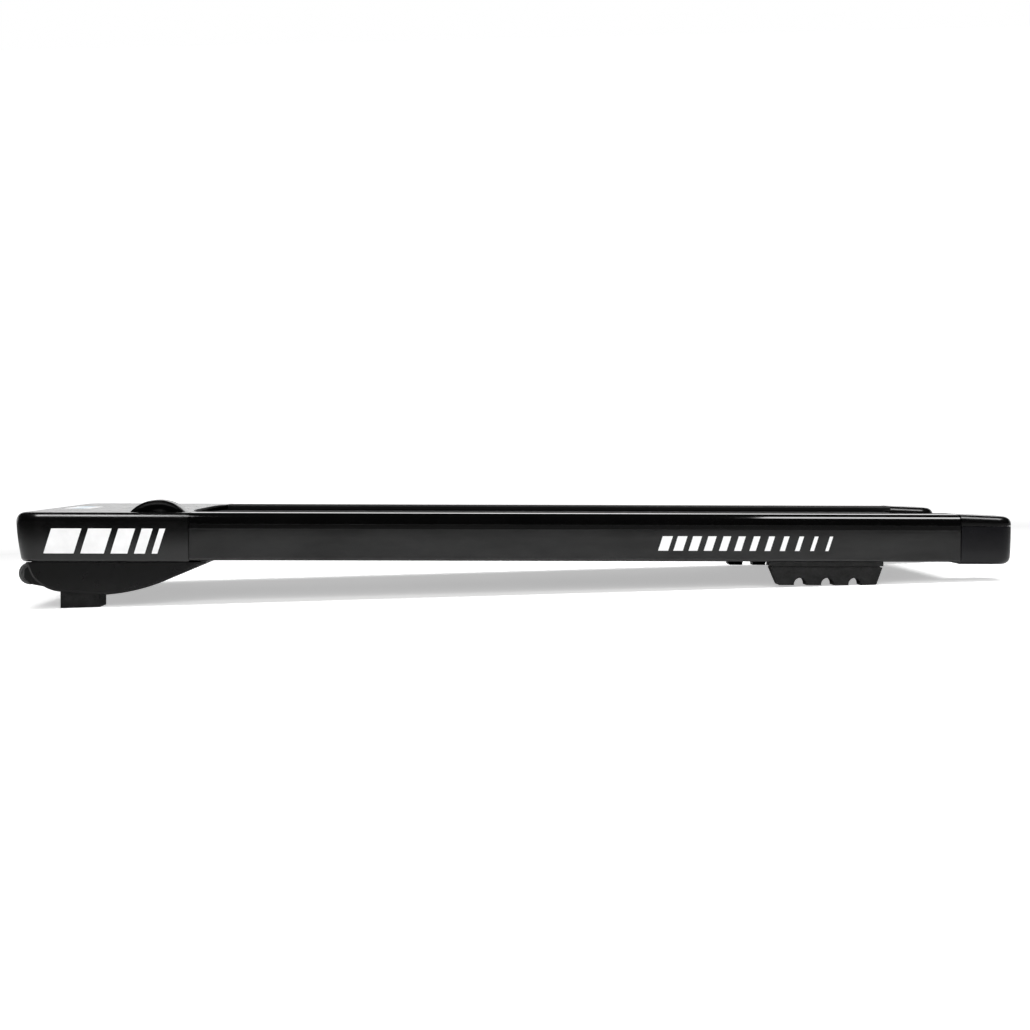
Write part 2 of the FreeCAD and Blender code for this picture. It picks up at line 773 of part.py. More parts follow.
def deck_board():
    low, high = DECK_BOTTOM, DECK_TOP
    corners = [(DECK_X[0], low, 2.0), (DECK_X[1], low, 2.0), (DECK_X[1], high, 5.0), (DECK_X[0], high, 5.0)]
    pulley_room = block((DECK_X[0] - 5.0, -388.0), (-DECK_HALF, PULLEY_Y[1] + 6.0), (low, high))
    return prism_y(corners, (-DECK_HALF, DECK_HALF)).cut(pulley_room)


CUSHION_Y = 190.0


def deck_cushions():
    pads = []
    for x in CROSS_X:
        for y in (-CUSHION_Y, CUSHION_Y):
            pads.append(rod(14.0, (x, y, CROSS_Z[1]), (x, y, DECK_BOTTOM)))
    return pads


def screw(head_r, head_h, shank_r, start, end):
    """A flat-headed screw: the head's outer face is at start."""
    run = Vector(*end) - Vector(*start)
    neck = Vector(*start) + Vector(run).normalize() * head_h
    head = Part.makeCylinder(head_r, head_h, Vector(*start), run)
    shank = rod(shank_r, (neck.x, neck.y, neck.z), end)
    return head.fuse(shank).removeSplitter()


def roller(x, half):
    """Steel roller tube with a bearing seat turned in each end."""

    def line(radius, y0, y1):
        return rod(radius, (x, y0, ROLLER_Z), (x, y1, ROLLER_Z))

    body = line(ROLLER_R, -half, half)
    rims = [e for e in body.Edges if e.BoundBox.YLength < 0.01]
    body = body.makeChamfer(1.0, rims)
    seat = half - BEARING_W
    body = body.cut(line(BEARING_R - 2.0, -half, half))
    body = body.cut(line(ROLLER_R - ROLLER_WALL, 4.0 - seat, seat - 4.0))
    return body.cut(line(BEARING_R, -half, -seat)).cut(line(BEARING_R, seat, half))


def bearings(x, half):
    rings = []
    for side in (-1, 1):
        start = (x, side * half, ROLLER_Z)
        end = (x, side * (half - BEARING_W), ROLLER_Z)
        rings.append(rod(BEARING_R, start, end).cut(rod(SHAFT_R + RUN_FIT, start, end)))
    return rings


FRONT_ROLLER_HALF = 178.0
REAR_ROLLER_HALF = 171.0


def drive_pulley():
    wheel = grooved_pulley(PULLEY_R, SHAFT_R + 1.5, ROLLER_X, ROLLER_Z)
    lighten_y = (PULLEY_Y[0], PULLEY_Y[0] + 7.0)
    ring = rod(PULLEY_R - 6.0, (ROLLER_X, lighten_y[0], ROLLER_Z), (ROLLER_X, lighten_y[1], ROLLER_Z))
    ring = ring.cut(rod(14.0, (ROLLER_X, lighten_y[0], ROLLER_Z), (ROLLER_X, lighten_y[1], ROLLER_Z)))
    hub_y = (PULLEY_Y[1], -FRONT_ROLLER_HALF)
    hub = rod(18.0, (ROLLER_X, hub_y[0], ROLLER_Z), (ROLLER_X, hub_y[1], ROLLER_Z))
    bore = rod(SHAFT_R + 1.5, (ROLLER_X, hub_y[0] - 30.0, ROLLER_Z), (ROLLER_X, hub_y[1], ROLLER_Z))
    return wheel.cut(ring).fuse(hub).cut(bore).removeSplitter()


def drive_roller_shaft():
    return rod(SHAFT_R, (ROLLER_X, -221.0, ROLLER_Z), (ROLLER_X, 221.0, ROLLER_Z))


TENSION_Y = 200.0
TENSION_R = 4.0
TAB_X = (566.0, 570.0)


def rear_roller_shaft():
    shaft = rod(SHAFT_R, (REAR_ROLLER_X, -217.5, ROLLER_Z), (REAR_ROLLER_X, 217.5, ROLLER_Z))
    for y in (-TENSION_Y, TENSION_Y):
        start = (REAR_ROLLER_X - 20.0, y, ROLLER_Z)
        shaft = shaft.cut(rod(TENSION_R + RUN_FIT, start, (REAR_ROLLER_X + 20.0, y, ROLLER_Z)))
    return shaft


def rear_bracket():
    """Side plate with the shaft's slot, and a tab that the tension bolt pulls on."""
    y = (-RAIL_INNER, PLATE_T - RAIL_INNER)
    plate = prism_y([(488.0, 6.0, 4.0), (TAB_X[1], 6.0), (TAB_X[1], 46.0), (488.0, 46.0, 4.0)], y)
    tab = block(TAB_X, (y[0], -184.0), (6.0, 46.0))
    low = ROLLER_Z - SHAFT_R - RUN_FIT
    high = ROLLER_Z + SHAFT_R + RUN_FIT
    slot = prism_y([(514.0, low, 7.0), (540.0, low, 7.0), (540.0, high, 7.0), (514.0, high, 7.0)], y)
    hole = rod(TENSION_R + RUN_FIT, (TAB_X[0], -TENSION_Y, ROLLER_Z), (TAB_X[1], -TENSION_Y, ROLLER_Z))
    return fused(plate, tab).cut(slot).cut(hole)


def tension_bolt():
    head = rod(7.0, (TAB_X[1], -TENSION_Y, ROLLER_Z), (TAB_X[1] + 8.0, -TENSION_Y, ROLLER_Z))
    shank = rod(TENSION_R, (505.0, -TENSION_Y, ROLLER_Z), (TAB_X[1], -TENSION_Y, ROLLER_Z))
    socket_corners = [(3.4 * math.cos(k * math.pi / 3), 3.4 * math.sin(k * math.pi / 3)) for k in range(6)]
    shift = [(a - TENSION_Y, b + ROLLER_Z) for a, b in socket_corners]
    socket = prism_x(shift, (TAB_X[1] + 3.5, TAB_X[1] + 8.0))
    return fused(head, shank).cut(socket)


def walking_belt():
    front = (ROLLER_X, ROLLER_Z, ROLLER_R)
    rear = (REAR_ROLLER_X, ROLLER_Z, ROLLER_R)
    return band(front, rear, BELT_GAP, BELT_T, (-BELT_HALF, BELT_HALF))


def drive_belt():
    front = (MOTOR_X, MOTOR_Z, MOTOR_PULLEY_R)
    rear = (ROLLER_X, ROLLER_Z, PULLEY_R)
    return band(rear, front, BELT_GAP, DRIVE_BELT_T, DRIVE_BELT_Y)


# ---------------------------------------------------------------- rear end caps and rear feet
CAP_INNER = 172.0
CAP_BOTTOM = -3.0
CAP_DROP = 2.4


def cap_body(inset):
    """Rear cap form, square at the front; the top falls a little towards the rear."""
    front = RAIL_REAR
    rear = CAP_REAR - inset
    low = CAP_BOTTOM + inset
    side = [
        (front, low),
        (rear, low, 8.5 - inset),
        (rear, TOP - CAP_DROP - inset),
        (front, TOP - inset),
    ]
    body = prism_y(side, (inset - HALF_WIDTH, -CAP_INNER - inset))
    for corner_r, keep in ((18.0, lambda y: y < -220.0), (8.0, lambda y: y > -200.0)):
        uprights = [
            e for e in body.Edges
            if e.BoundBox.ZLength > 30.0 and e.BoundBox.XMin > rear - 1.0 and keep(e.CenterOfMass.y)
        ]
        body = body.makeFillet(corner_r - inset, uprights)
    crown = [
        e for e in body.Edges
        if e.BoundBox.ZMin > TOP - CAP_DROP - inset - 0.5
        and e.BoundBox.XMax > front + 1.0
        and e.BoundBox.YMin < -CAP_INNER - inset - 1.0
    ]
    return body.makeFillet(9.0 - inset, crown)


def rear_cap():
    shell = cap_body(0.0).cut(cap_body(WALL))
    lip_x = (RAIL_REAR - 7.3, RAIL_REAR + WALL)
    lip = block(lip_x, (-HALF_WIDTH + 1.0, -RAIL_INNER - 1.0), (CAP_BOTTOM, 0.0))
    reach = rod(7.5, (CAP_REAR - 8.0, -TENSION_Y, ROLLER_Z), (CAP_REAR + 2.0, -TENSION_Y, ROLLER_Z))
    shell = shell.fuse(lip).removeSplitter().cut(reach)
    groove_z = TOP - SHOULDER_R - 0.6
    ring = cap_body(0.0).cut(cap_body(0.5))
    slit_z = (groove_z, groove_z + 0.6)
    slit = block((RAIL_REAR, CAP_REAR + 1.0), (-HALF_WIDTH - 1.0, -CAP_INNER - 4.0), slit_z)
    return shell.cut(ring.common(slit))


def rear_foot():
    """Notched rubber block hung under the rail, with a shadow gap under its flange."""
    y = (1.0 - HALF_WIDTH, -RAIL_INNER - 1.0)
    x0, x1 = REAR_FOOT_X
    flange = block((x0, x1), y, (-5.3, 0.0))
    neck = block((x0 + 4.0, x1 - 4.0), (y[0] + 1.2, y[1] - 1.2), (-6.7, -5.3))
    rest_x = (REAR_FOOT_REST_X, 436.5)
    body = prism_y(
        [
            (x0 + 1.5, -6.7, 0.6),
            (318.0, REAR_FOOT_BOTTOM, 1.5),
            (rest_x[0], REAR_FOOT_BOTTOM),
            (rest_x[1], floor_z(rest_x[1]), 1.5),
            (x1 - 1.0, -6.7, 0.6),
        ],
        y,
    )
    for x in NOTCH_X:
        body = body.cut(rod(NOTCH_R, (x, y[0] - 5.0, -27.3), (x, y[1] + 5.0, -27.3)))
    return fused(flange, neck, body)


# ---------------------------------------------------------------- fasteners, as groups
# Each maker returns the fasteners, and the ways in for their heads and a screwdriver.
def cover_screws():
    """Long screws up through the belly into the hood's bosses."""
    head_r = 3.6
    screws = []
    ways = []
    for x, y in HOOD_BOSSES:
        head_z = -14.0 if x < MOTOR_X else -9.0
        screws.append(screw(head_r, 2.5, 1.8, (x, y, head_z), (x, y, 20.0)))
        ways.append(rod(head_r, (x, y, -60.0), (x, y, head_z)))
    return screws, ways


def front_foot_bolts():
    """One bolt up through each front foot and the belly into the motor tray."""
    head_r = 7.0
    head_z = -52.0
    x = (FOOT_X[0] + FOOT_X[1]) / 2
    places = [(x, -203.0), (x, 203.0)]
    bolts = [screw(head_r, 4.0, 4.0, (x, y, head_z), (x, y, TRAY_Z[1] + 6.0)) for x, y in places]
    return bolts, [rod(head_r, (x, y, -70.0), (x, y, head_z)) for x, y in places]


def rear_foot_screws():
    """Two screws up through each rear foot into its rail."""
    head_r = 4.0
    head_z = -20.0
    y = (HALF_WIDTH + RAIL_INNER) / 2
    places = [(x, side * y) for x in (327.0, 427.0) for side in (-1, 1)]
    screws = [screw(head_r, 3.0, 2.0, (x, y, head_z), (x, y, RAIL_WALL)) for x, y in places]
    return screws, [rod(head_r, (x, y, -40.0), (x, y, head_z)) for x, y in places]


def frame_bolts():
    """Bolts that clamp the chassis plates and the rear brackets to the rails."""
    places = [(x, z) for x in (-332.0, -311.0) for z in (14.0, 24.0)] + [(498.0, 14.0), (498.0, 38.0)]
    bolts = []
    for side in (-1, 1):
        for x, z in places:
            start = (x, side * (RAIL_INNER - PLATE_T - 3.5), z)
            end = (x, side * (RAIL_INNER + RAIL_WALL), z)
            bolts.append(screw(4.5, 3.5, 2.5, start, end))
    return bolts, []


def deck_screws():
    """Countersunk screws through the deck's edges and cushions into the cross tubes."""
    places = [(x, y) for x in CROSS_X for y in (-CUSHION_Y, CUSHION_Y)]
    return [screw(5.0, 3.0, 2.5, (x, y, DECK_TOP), (x, y, CROSS_Z[1] - 2.0)) for x, y in places], []


# ---------------------------------------------------------------- assembly
def pair(name):
    return [name + "_left", name + "_right"]


def loose_pieces():
    """Every piece before the fasteners are let into it."""
    pieces = {
        "hood_cover": hood_cover(),
        "display_window": display_window(),
        "display_board": display_board(),
        "belly_pan": belly_pan(),
        "motor_tray": motor_tray(),
        "motor_casing": motor_casing(),
        "motor_rotor": motor_rotor(),
        "motor_pulley": motor_pulley(),
        "motor_cradle": motor_cradle(),
        "controller_board": controller_board(),
        "controller_heatsink": controller_heatsink(),
        "mains_lead": mains_lead(),
        "motor_lead": motor_lead(),
        "display_lead": display_lead(),
        "power_inlet": power_inlet(),
        "switch_frame": switch_frame(),
        "switch_rocker": switch_rocker(),
        "breaker_body": breaker_body(),
        "breaker_button": breaker_button(),
        "deck_board": deck_board(),
        "deck_cushions": group(deck_cushions()),
        "walking_belt": walking_belt(),
        "drive_belt": drive_belt(),
        "drive_roller": roller(ROLLER_X, FRONT_ROLLER_HALF),
        "drive_roller_bearings": group(bearings(ROLLER_X, FRONT_ROLLER_HALF)),
        "drive_roller_shaft": drive_roller_shaft(),
        "drive_pulley": drive_pulley(),
        "rear_roller": roller(REAR_ROLLER_X, REAR_ROLLER_HALF),
        "rear_roller_bearings": group(bearings(REAR_ROLLER_X, REAR_ROLLER_HALF)),
        "rear_roller_shaft": rear_roller_shaft(),
        "tension_bolts": group([tension_bolt(), mirrored(tension_bolt())]),
        "wheel_axles": group([wheel_axle(), mirrored(wheel_axle())]),
    }
    for name, x in zip(CROSS_TUBES, CROSS_X):
        half = RAIL_INNER - PLATE_T if x == CROSS_X[0] else RAIL_INNER
        pieces[name] = cross_tube(x, half)
    sided = {
        "chassis_plate": chassis_plate(),
        "side_rail": rail(),
        "rail_cover": rail_cover(),
        "rear_bracket": rear_bracket(),
        "rear_cap": rear_cap(),
        "front_foot": front_foot(),
        "rear_foot": rear_foot(),
        "wheel_bracket": wheel_bracket(),
        "transport_wheel": transport_wheel(),
    }
    for name, shape in sided.items():
        left, right = pair(name)
        pieces[left] = shape
        pieces[right] = mirrored(shape)
    return pieces


def build():
    """All pieces, each fastener group let into the pieces that it joins."""
    pieces = loose_pieces()
    joined = {
        "deck_screws": (deck_screws, ["deck_board", "deck_cushions"] + CROSS_TUBES),
        "cover_screws": (cover_screws, ["hood_cover", "belly_pan"]),
        "front_foot_bolts": (front_foot_bolts, pair("front_foot") + ["belly_pan", "motor_tray"]),
        "rear_foot_screws": (rear_foot_screws, pair("rear_foot") + pair("side_rail")),
        "frame_bolts": (frame_bolts, pair("chassis_plate") + pair("rear_bracket") + pair("side_rail")),
    }
    for name, (maker, seats) in joined.items():
        fasteners, ways = maker()
        for seat in seats:
            pieces[seat] = pieces[seat].cut(group(fasteners + ways))
        pieces[name] = group(fasteners)
    return pieces


def standing_place(pieces):
    """Turns the pad nose-up on its feet and puts the floor at Z = 0 under its middle."""
    turn = FreeCAD.Rotation(Vector(0, 1, 0), INCLINE)
    matrix = FreeCAD.Placement(Vector(0, 0, 0), turn).toMatrix()
    box = FreeCAD.BoundBox()
    for shape in pieces.values():
        box.add(shape.transformed(matrix).optimalBoundingBox(False, False))
    drop = floor_z(0.0) * math.cos(math.radians(INCLINE))
    return FreeCAD.Placement(Vector(-(box.XMin + box.XMax) / 2, 0, -drop), turn)


def main():
    os.makedirs("parts", exist_ok=True)
    pieces = build()
    place = standing_place(pieces)
    for name, shape in sorted(pieces.items()):
        placed = shape.transformed(place.toMatrix())
        placed.exportStep("parts/%s.step" % name)
        facts = (name, len(placed.Solids), placed.isValid(), placed.Volume / 1000)
        print("%-24s solids %2d  valid %s  volume %9.1f cm3" % facts)
    return pieces, place


main()
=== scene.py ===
import json
import math

import bmesh
import bpy
from mathutils import Matrix, Vector


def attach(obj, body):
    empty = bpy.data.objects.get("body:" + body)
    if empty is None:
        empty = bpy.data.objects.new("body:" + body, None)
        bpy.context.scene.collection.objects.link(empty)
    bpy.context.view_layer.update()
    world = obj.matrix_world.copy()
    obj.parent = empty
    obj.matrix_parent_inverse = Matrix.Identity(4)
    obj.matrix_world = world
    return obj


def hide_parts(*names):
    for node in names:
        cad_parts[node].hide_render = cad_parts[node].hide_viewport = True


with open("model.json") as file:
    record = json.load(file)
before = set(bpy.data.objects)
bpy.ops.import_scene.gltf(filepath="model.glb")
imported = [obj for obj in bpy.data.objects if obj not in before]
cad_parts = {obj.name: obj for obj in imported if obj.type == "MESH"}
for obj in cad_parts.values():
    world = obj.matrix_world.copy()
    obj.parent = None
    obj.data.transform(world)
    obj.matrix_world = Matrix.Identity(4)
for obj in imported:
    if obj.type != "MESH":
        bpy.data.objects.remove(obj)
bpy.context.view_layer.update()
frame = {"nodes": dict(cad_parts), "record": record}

nodes = frame["nodes"]

# Flat walking treadmill. Shapes are drawn in millimetres, level with the deck: X runs from the hood to the
# rear end, Y across with the user's left at -Y, and Z up from the underside of the side rails.
# STAND puts them on their feet: nose-up by the incline, with the floor at Z = 0.
MM = 0.001
INCLINE = math.radians(1.8)
STAND = Matrix.Translation((-0.28 * MM, 0, 41.516 * MM)) @ Matrix.Rotation(INCLINE, 4, "Y")
FROM_DECK = STAND @ Matrix.Scale(MM, 4)


# ---------------------------------------------------------------- camera
SENSOR = 36.0
LENS = 73.06
CLIP_END = 100.0
CAMERA_AT = Vector((-63.83, -2763.38, 127.05)) * MM
CAMERA_YAW = math.radians(-1.429)
CAMERA_PITCH = math.radians(-1.629)
CAMERA_ROLL = math.radians(-0.200)


def add_camera():
    """A long lens from the user's left, level with the deck, so the floor line runs uphill in the picture."""
    data = bpy.data.cameras.new("camera")
    data.sensor_width = SENSOR
    data.lens = LENS
    data.clip_end = CLIP_END
    turn = Matrix.Rotation(CAMERA_YAW, 4, "Z")
    turn = turn @ Matrix.Rotation(CAMERA_PITCH, 4, "X") @ Matrix.Rotation(CAMERA_ROLL, 4, "Y")
    upright = Matrix.Rotation(math.radians(90), 4, "X")
    camera = bpy.data.objects.new("camera", data)
    camera.matrix_world = STAND @ Matrix.Translation(CAMERA_AT) @ turn @ upright
    bpy.context.scene.collection.objects.link(camera)
    bpy.context.scene.camera = camera


add_camera()


# ---------------------------------------------------------------- node helpers for materials
def new_material(name, metallic=0.0, specular=0.5):
    mat = bpy.data.materials.new(name)
    mat.use_nodes = True
    shader = mat.node_tree.nodes["Principled BSDF"]
    shader.inputs["Metallic"].default_value = metallic
    shader.inputs["Specular IOR Level"].default_value = specular
    return mat, mat.node_tree, shader


def place_coords(tree, stretch=(1, 1, 1), source="Object"):
    """Texture coordinates in metres, optionally stretched."""
    coords = tree.nodes.new("ShaderNodeTexCoord")
    mapping = tree.nodes.new("ShaderNodeMapping")
    mapping.inputs["Scale"].default_value = stretch
    tree.links.new(coords.outputs[source], mapping.inputs["Vector"])
    return mapping.outputs["Vector"]


def noise(tree, vector, size_mm, detail=3.0, rough=0.5, distort=0.0):
    texture = tree.nodes.new("ShaderNodeTexNoise")
    texture.inputs["Scale"].default_value = 1.0 / (size_mm * MM)
    texture.inputs["Detail"].default_value = detail
    texture.inputs["Roughness"].default_value = rough
    texture.inputs["Distortion"].default_value = distort
    tree.links.new(vector, texture.inputs["Vector"])
    return texture.outputs["Fac"]


def span(tree, value, low, high, start=0.3, stop=0.7):
    """Maps a 0..1 texture value to a range of numbers."""
    remap = tree.nodes.new("ShaderNodeMapRange")
    remap.inputs["From Min"].default_value = start
    remap.inputs["From Max"].default_value = stop
    remap.inputs["To Min"].default_value = low
    remap.inputs["To Max"].default_value = high
    tree.links.new(value, remap.inputs["Value"])
    return remap.outputs["Result"]


def ramp(tree, value, *stops):
    """A colour ramp through (position, grey or colour) stops."""
    colours = tree.nodes.new("ShaderNodeValToRGB")
    elements = colours.color_ramp.elements
    while len(elements) < len(stops):
        elements.new(0.5)
    for element, (position, colour) in zip(elements, stops):
        element.position = position
        rgb = (colour, colour, colour) if isinstance(colour, float) else colour
        element.color = (rgb[0], rgb[1], rgb[2], 1.0)
    tree.links.new(value, colours.inputs["Fac"])
    return colours.outputs["Color"]


def combine(tree, a, b, operation="ADD"):
    maths = tree.nodes.new("ShaderNodeMath")
    maths.operation = operation
    for socket, value in zip(maths.inputs, (a, b)):
        if isinstance(value, float):
            socket.default_value = value
        else:
            tree.links.new(value, socket)
    return maths.outputs["Value"]


def bump(tree, shader, height, depth_mm):
    """Adds a bump of that depth under whatever bump the shader already has."""
    node = tree.nodes.new("ShaderNodeBump")
    node.inputs["Distance"].default_value = depth_mm * MM
    node.inputs["Strength"].default_value = 1.0
    tree.links.new(height, node.inputs["Height"])
    socket = shader.inputs["Normal"]
    if socket.is_linked:
        tree.links.new(socket.links[0].from_socket, node.inputs["Normal"])
    tree.links.new(node.outputs["Normal"], socket)


def moulded(
    name,
    dark,
    light,
    rough,
    grain_mm,
    grain_depth,
    patch_mm=70.0,
    metallic=0.0,
    specular=0.5,
    stretch=(1, 1, 1),
):
    """Moulded plastic, rubber or metal: patchy shade and gloss between two limits, with a fine grain."""
    mat, tree, shader = new_material(name, metallic, specular)
    here = place_coords(tree, stretch)
    patches = noise(tree, here, patch_mm, 4.0, 0.6)
    tree.links.new(ramp(tree, patches, (0.3, dark), (0.7, light)), shader.inputs["Base Color"])
    smears = noise(tree, here, patch_mm * 0.3, 5.0, 0.65, 0.6)
    tree.links.new(span(tree, smears, rough[0], rough[1]), shader.inputs["Roughness"])
    bump(tree, shader, noise(tree, here, grain_mm, 2.0), grain_depth)
    return mat


# ---------------------------------------------------------------- studio
def stage_plane(name, corners, mat):
    mesh = bpy.data.meshes.new(name)
    mesh.from_pydata(corners, [], [(0, 1, 2, 3)])
    mesh.materials.append(mat)
    plane = bpy.data.objects.new(name, mesh)
    bpy.context.scene.collection.objects.link(plane)


def floor_material():
    """Matt, white near the pad and painted dark grey further out: painted shade that darkens what the glossy
    sides reflect. Lit a little by itself where the softboxes no longer reach.
    """
    mat, tree, shader = new_material("studio_floor", specular=0.1)
    here = place_coords(tree)
    shader.inputs["Roughness"].default_value = 0.9
    length = tree.nodes.new("ShaderNodeVectorMath")
    length.operation = "LENGTH"
    tree.links.new(here, length.inputs[0])
    # Painted shade: the floor's colour falls from white to dark grey between 0.7 m and 1.7 m from the middle.
    painted_shade_far = span(tree, length.outputs["Value"], 0.0, 1.0, 0.7, 1.7)
    tree.links.new(ramp(tree, painted_shade_far, (0.0, 0.88), (1.0, 0.10)), shader.inputs["Base Color"])
    path = tree.nodes.new("ShaderNodeLightPath")
    far = span(tree, length.outputs["Value"], 0.45, 1.0, 0.5, 2.2)
    glow = combine(tree, far, path.outputs["Is Camera Ray"], "MULTIPLY")
    shader.inputs["Emission Color"].default_value = (1, 1, 1, 1)
    tree.links.new(glow, shader.inputs["Emission Strength"])
    return mat


def backdrop_material():
    mat, tree, shader = new_material("studio_backdrop", specular=0.0)
    here = place_coords(tree)
    tree.links.new(ramp(tree, noise(tree, here, 900.0), (0.3, 0.89), (0.7, 0.9)), shader.inputs["Base Color"])
    shader.inputs["Roughness"].default_value = 1.0
    shader.inputs["Emission Color"].default_value = (1, 1, 1, 1)
    shader.inputs["Emission Strength"].default_value = 1.0
    return mat


def softbox(name, x, y, z, width, depth, radiance, tilt=0.0, mirrored=True):
    """A flat light, in metres, facing down and tilted towards +Y. Unmirrored, it only fills in."""
    data = bpy.data.lights.new(name, "AREA")
    data.shape = "RECTANGLE"
    data.size = width
    data.size_y = depth
    data.energy = radiance * math.pi * width * depth
    light = bpy.data.objects.new(name, data)
    light.location = (x, y, z)
    light.rotation_euler = (math.radians(tilt), 0, 0)
    light.visible_glossy = mirrored
    bpy.context.scene.collection.objects.link(light)


def studio_world():
    """White behind the floor's edge, and a dim room for everything that lights and reflects."""
    world = bpy.data.worlds.new("studio")
    world.use_nodes = True
    bpy.context.scene.world = world
    tree = world.node_tree
    room = tree.nodes["Background"]
    room.inputs["Color"].default_value = (0.95, 0.97, 1.0, 1)
    room.inputs["Strength"].default_value = 0.02
    white = tree.nodes.new("ShaderNodeBackground")
    white.inputs["Color"].default_value = (1, 1, 1, 1)
    path = tree.nodes.new("ShaderNodeLightPath")
    mix = tree.nodes.new("ShaderNodeMixShader")
    tree.links.new(path.outputs["Is Camera Ray"], mix.inputs["Fac"])
    tree.links.new(room.outputs["Background"], mix.inputs[1])
    tree.links.new(white.outputs["Background"], mix.inputs[2])
    tree.links.new(mix.outputs["Shader"], tree.nodes["World Output"].inputs["Surface"])


FLOOR = 30.0
BACK = 6.0
BACKDROP_Y = 4.5
BACKDROP_TOP = 1.6
FLOOR_CORNERS = [(-FLOOR, -FLOOR, 0), (FLOOR, -FLOOR, 0), (FLOOR, FLOOR, 0), (-FLOOR, FLOOR, 0)]
BACKDROP_OUTLINE = ((-BACK, 0), (BACK, 0), (BACK, BACKDROP_TOP), (-BACK, BACKDROP_TOP))
BACKDROP_CORNERS = [(x, BACKDROP_Y, z) for x, z in BACKDROP_OUTLINE]

stage_plane("studio_floor", FLOOR_CORNERS, floor_material())
stage_plane("studio_backdrop", BACKDROP_CORNERS, backdrop_material())
softbox("softbox_rear", 1.25, -0.36, 2.1, 1.2, 0.72, 13.0)
softbox("softbox_front", -0.84, -0.36, 2.1, 0.48, 0.72, 15.0)
softbox("softbox_fill", 0.0, 0.0, 2.4, 3.2, 3.2, 1.0, mirrored=False)
softbox("softbox_side", 0.0, -3.0, 1.3, 3.2, 1.6, 5.0, tilt=68.0, mirrored=False)
studio_world()
bpy.context.scene.view_settings.view_transform = "Standard"


# ---------------------------------------------------------------- materials
gloss_black = moulded("gloss_black", 0.0007, 0.0014, (0.05, 0.08), 1.2, 0.002, 60.0)
cap_black = moulded("cap_black", 0.0007, 0.0016, (0.2, 0.28), 1.2, 0.002, 60.0, specular=0.35)
hood_black = moulded("hood_black", 0.001, 0.0022, (0.18, 0.26), 1.0, 0.006, 60.0)
satin_black = moulded(
    "satin_black", (0.001, 0.001, 0.0016), (0.002, 0.002, 0.0032), (0.2, 0.28), 0.5, 0.01, 60.0, specular=0.28
)
matte_black = moulded("matte_black", 0.0008, 0.0055, (0.22, 0.42), 0.7, 0.03, 34.0, specular=0.24)
foot_rubber = moulded("foot_rubber", 0.003, 0.011, (0.55, 0.8), 0.6, 0.1, 9.0, specular=0.35)
wheel_rubber = moulded("wheel_rubber", 0.03, 0.10, (0.7, 0.9), 1.2, 0.3, 3.0)
frame_paint = moulded("frame_paint", 0.016, 0.028, (0.35, 0.5), 0.8, 0.04, 50.0)
rail_paint = moulded("rail_paint", 0.0055, 0.014, (0.36, 0.54), 0.6, 0.02, 22.0, stretch=(0.3, 1, 1))
belt_rubber = moulded("belt_rubber", 0.012, 0.02, (0.5, 0.7), 1.0, 0.15, 90.0)
drive_rubber = moulded("drive_belt_rubber", 0.01, 0.02, (0.5, 0.7), 0.6, 0.05, 20.0)
deck_wood = moulded("deck_wood", (0.16, 0.09, 0.045), (0.25, 0.15, 0.08), (0.6, 0.75), 1.5, 0.1, 30.0)
smoked_lens = moulded("smoked_lens", 0.004, 0.006, (0.05, 0.1), 4.0, 0.002, 50.0)
circuit_board = moulded(
    "circuit_board", (0.01, 0.07, 0.03), (0.015, 0.10, 0.045), (0.3, 0.45), 0.6, 0.05, 6.0
)
aluminium = moulded("aluminium", 0.45, 0.6, (0.28, 0.42), 0.6, 0.03, 15.0, metallic=1.0)
motor_paint = moulded("motor_paint", 0.02, 0.035, (0.3, 0.45), 0.6, 0.03, 40.0)
switch_black = moulded("switch_black", 0.01, 0.016, (0.35, 0.5), 0.4, 0.02, 12.0)
rocker_red = moulded("rocker_red", (0.36, 0.01, 0.008), (0.46, 0.016, 0.012), (0.25, 0.35), 0.6, 0.01, 8.0)
button_white = moulded("button_white", 0.62, 0.72, (0.3, 0.4), 0.5, 0.01, 6.0)
lead_sheath = moulded("lead_sheath", 0.012, 0.02, (0.45, 0.6), 0.5, 0.03, 20.0)
roller_steel = moulded("roller_steel", 0.5, 0.62, (0.18, 0.3), 0.6, 0.02, 30.0, metallic=1.0)
bare_steel = moulded("bare_steel", 0.42, 0.56, (0.28, 0.42), 0.5, 0.03, 12.0, metallic=1.0)
zinc_screws = moulded(
    "zinc_screws", (0.50, 0.50, 0.48), (0.62, 0.62, 0.60), (0.25, 0.4), 0.4, 0.03, 5.0, metallic=1.0
)


def belly_material():
    """Satin moulding, painted paler in random patches low down: a painted sheen on the lower face."""
    mat, tree, shader = new_material("belly_black", specular=0.26)
    here = place_coords(tree)
    split = tree.nodes.new("ShaderNodeSeparateXYZ")
    tree.links.new(here, split.inputs["Vector"])
    # Painted sheen: the base colour is lighter below about 36 mm, broken up in random patches, and stays
    # evenly dark above.
    painted_sheen_low_down = span(tree, split.outputs["Z"], 1.0, 0.0, 0.010, 0.036)
    patches = span(tree, noise(tree, place_coords(tree, (0.6, 1, 1)), 26.0, 4.0, 0.62, 0.4), 0.1, 1.0)
    painted_sheen_patches = combine(tree, painted_sheen_low_down, patches, "MULTIPLY")
    tree.links.new(ramp(tree, painted_sheen_patches, (0.0, 0.0012), (0.5, 0.0045), (1.0, 0.011)), shader.inputs["Base Color"])
    tree.links.new(span(tree, noise(tree, here, 12.0, 4.0, 0.6), 0.24, 0.42), shader.inputs["Roughness"])
    bump(tree, shader, noise(tree, here, 0.7, 2.0), 0.02)
    return mat


GRAIN_EDGE = 216.0 * MM


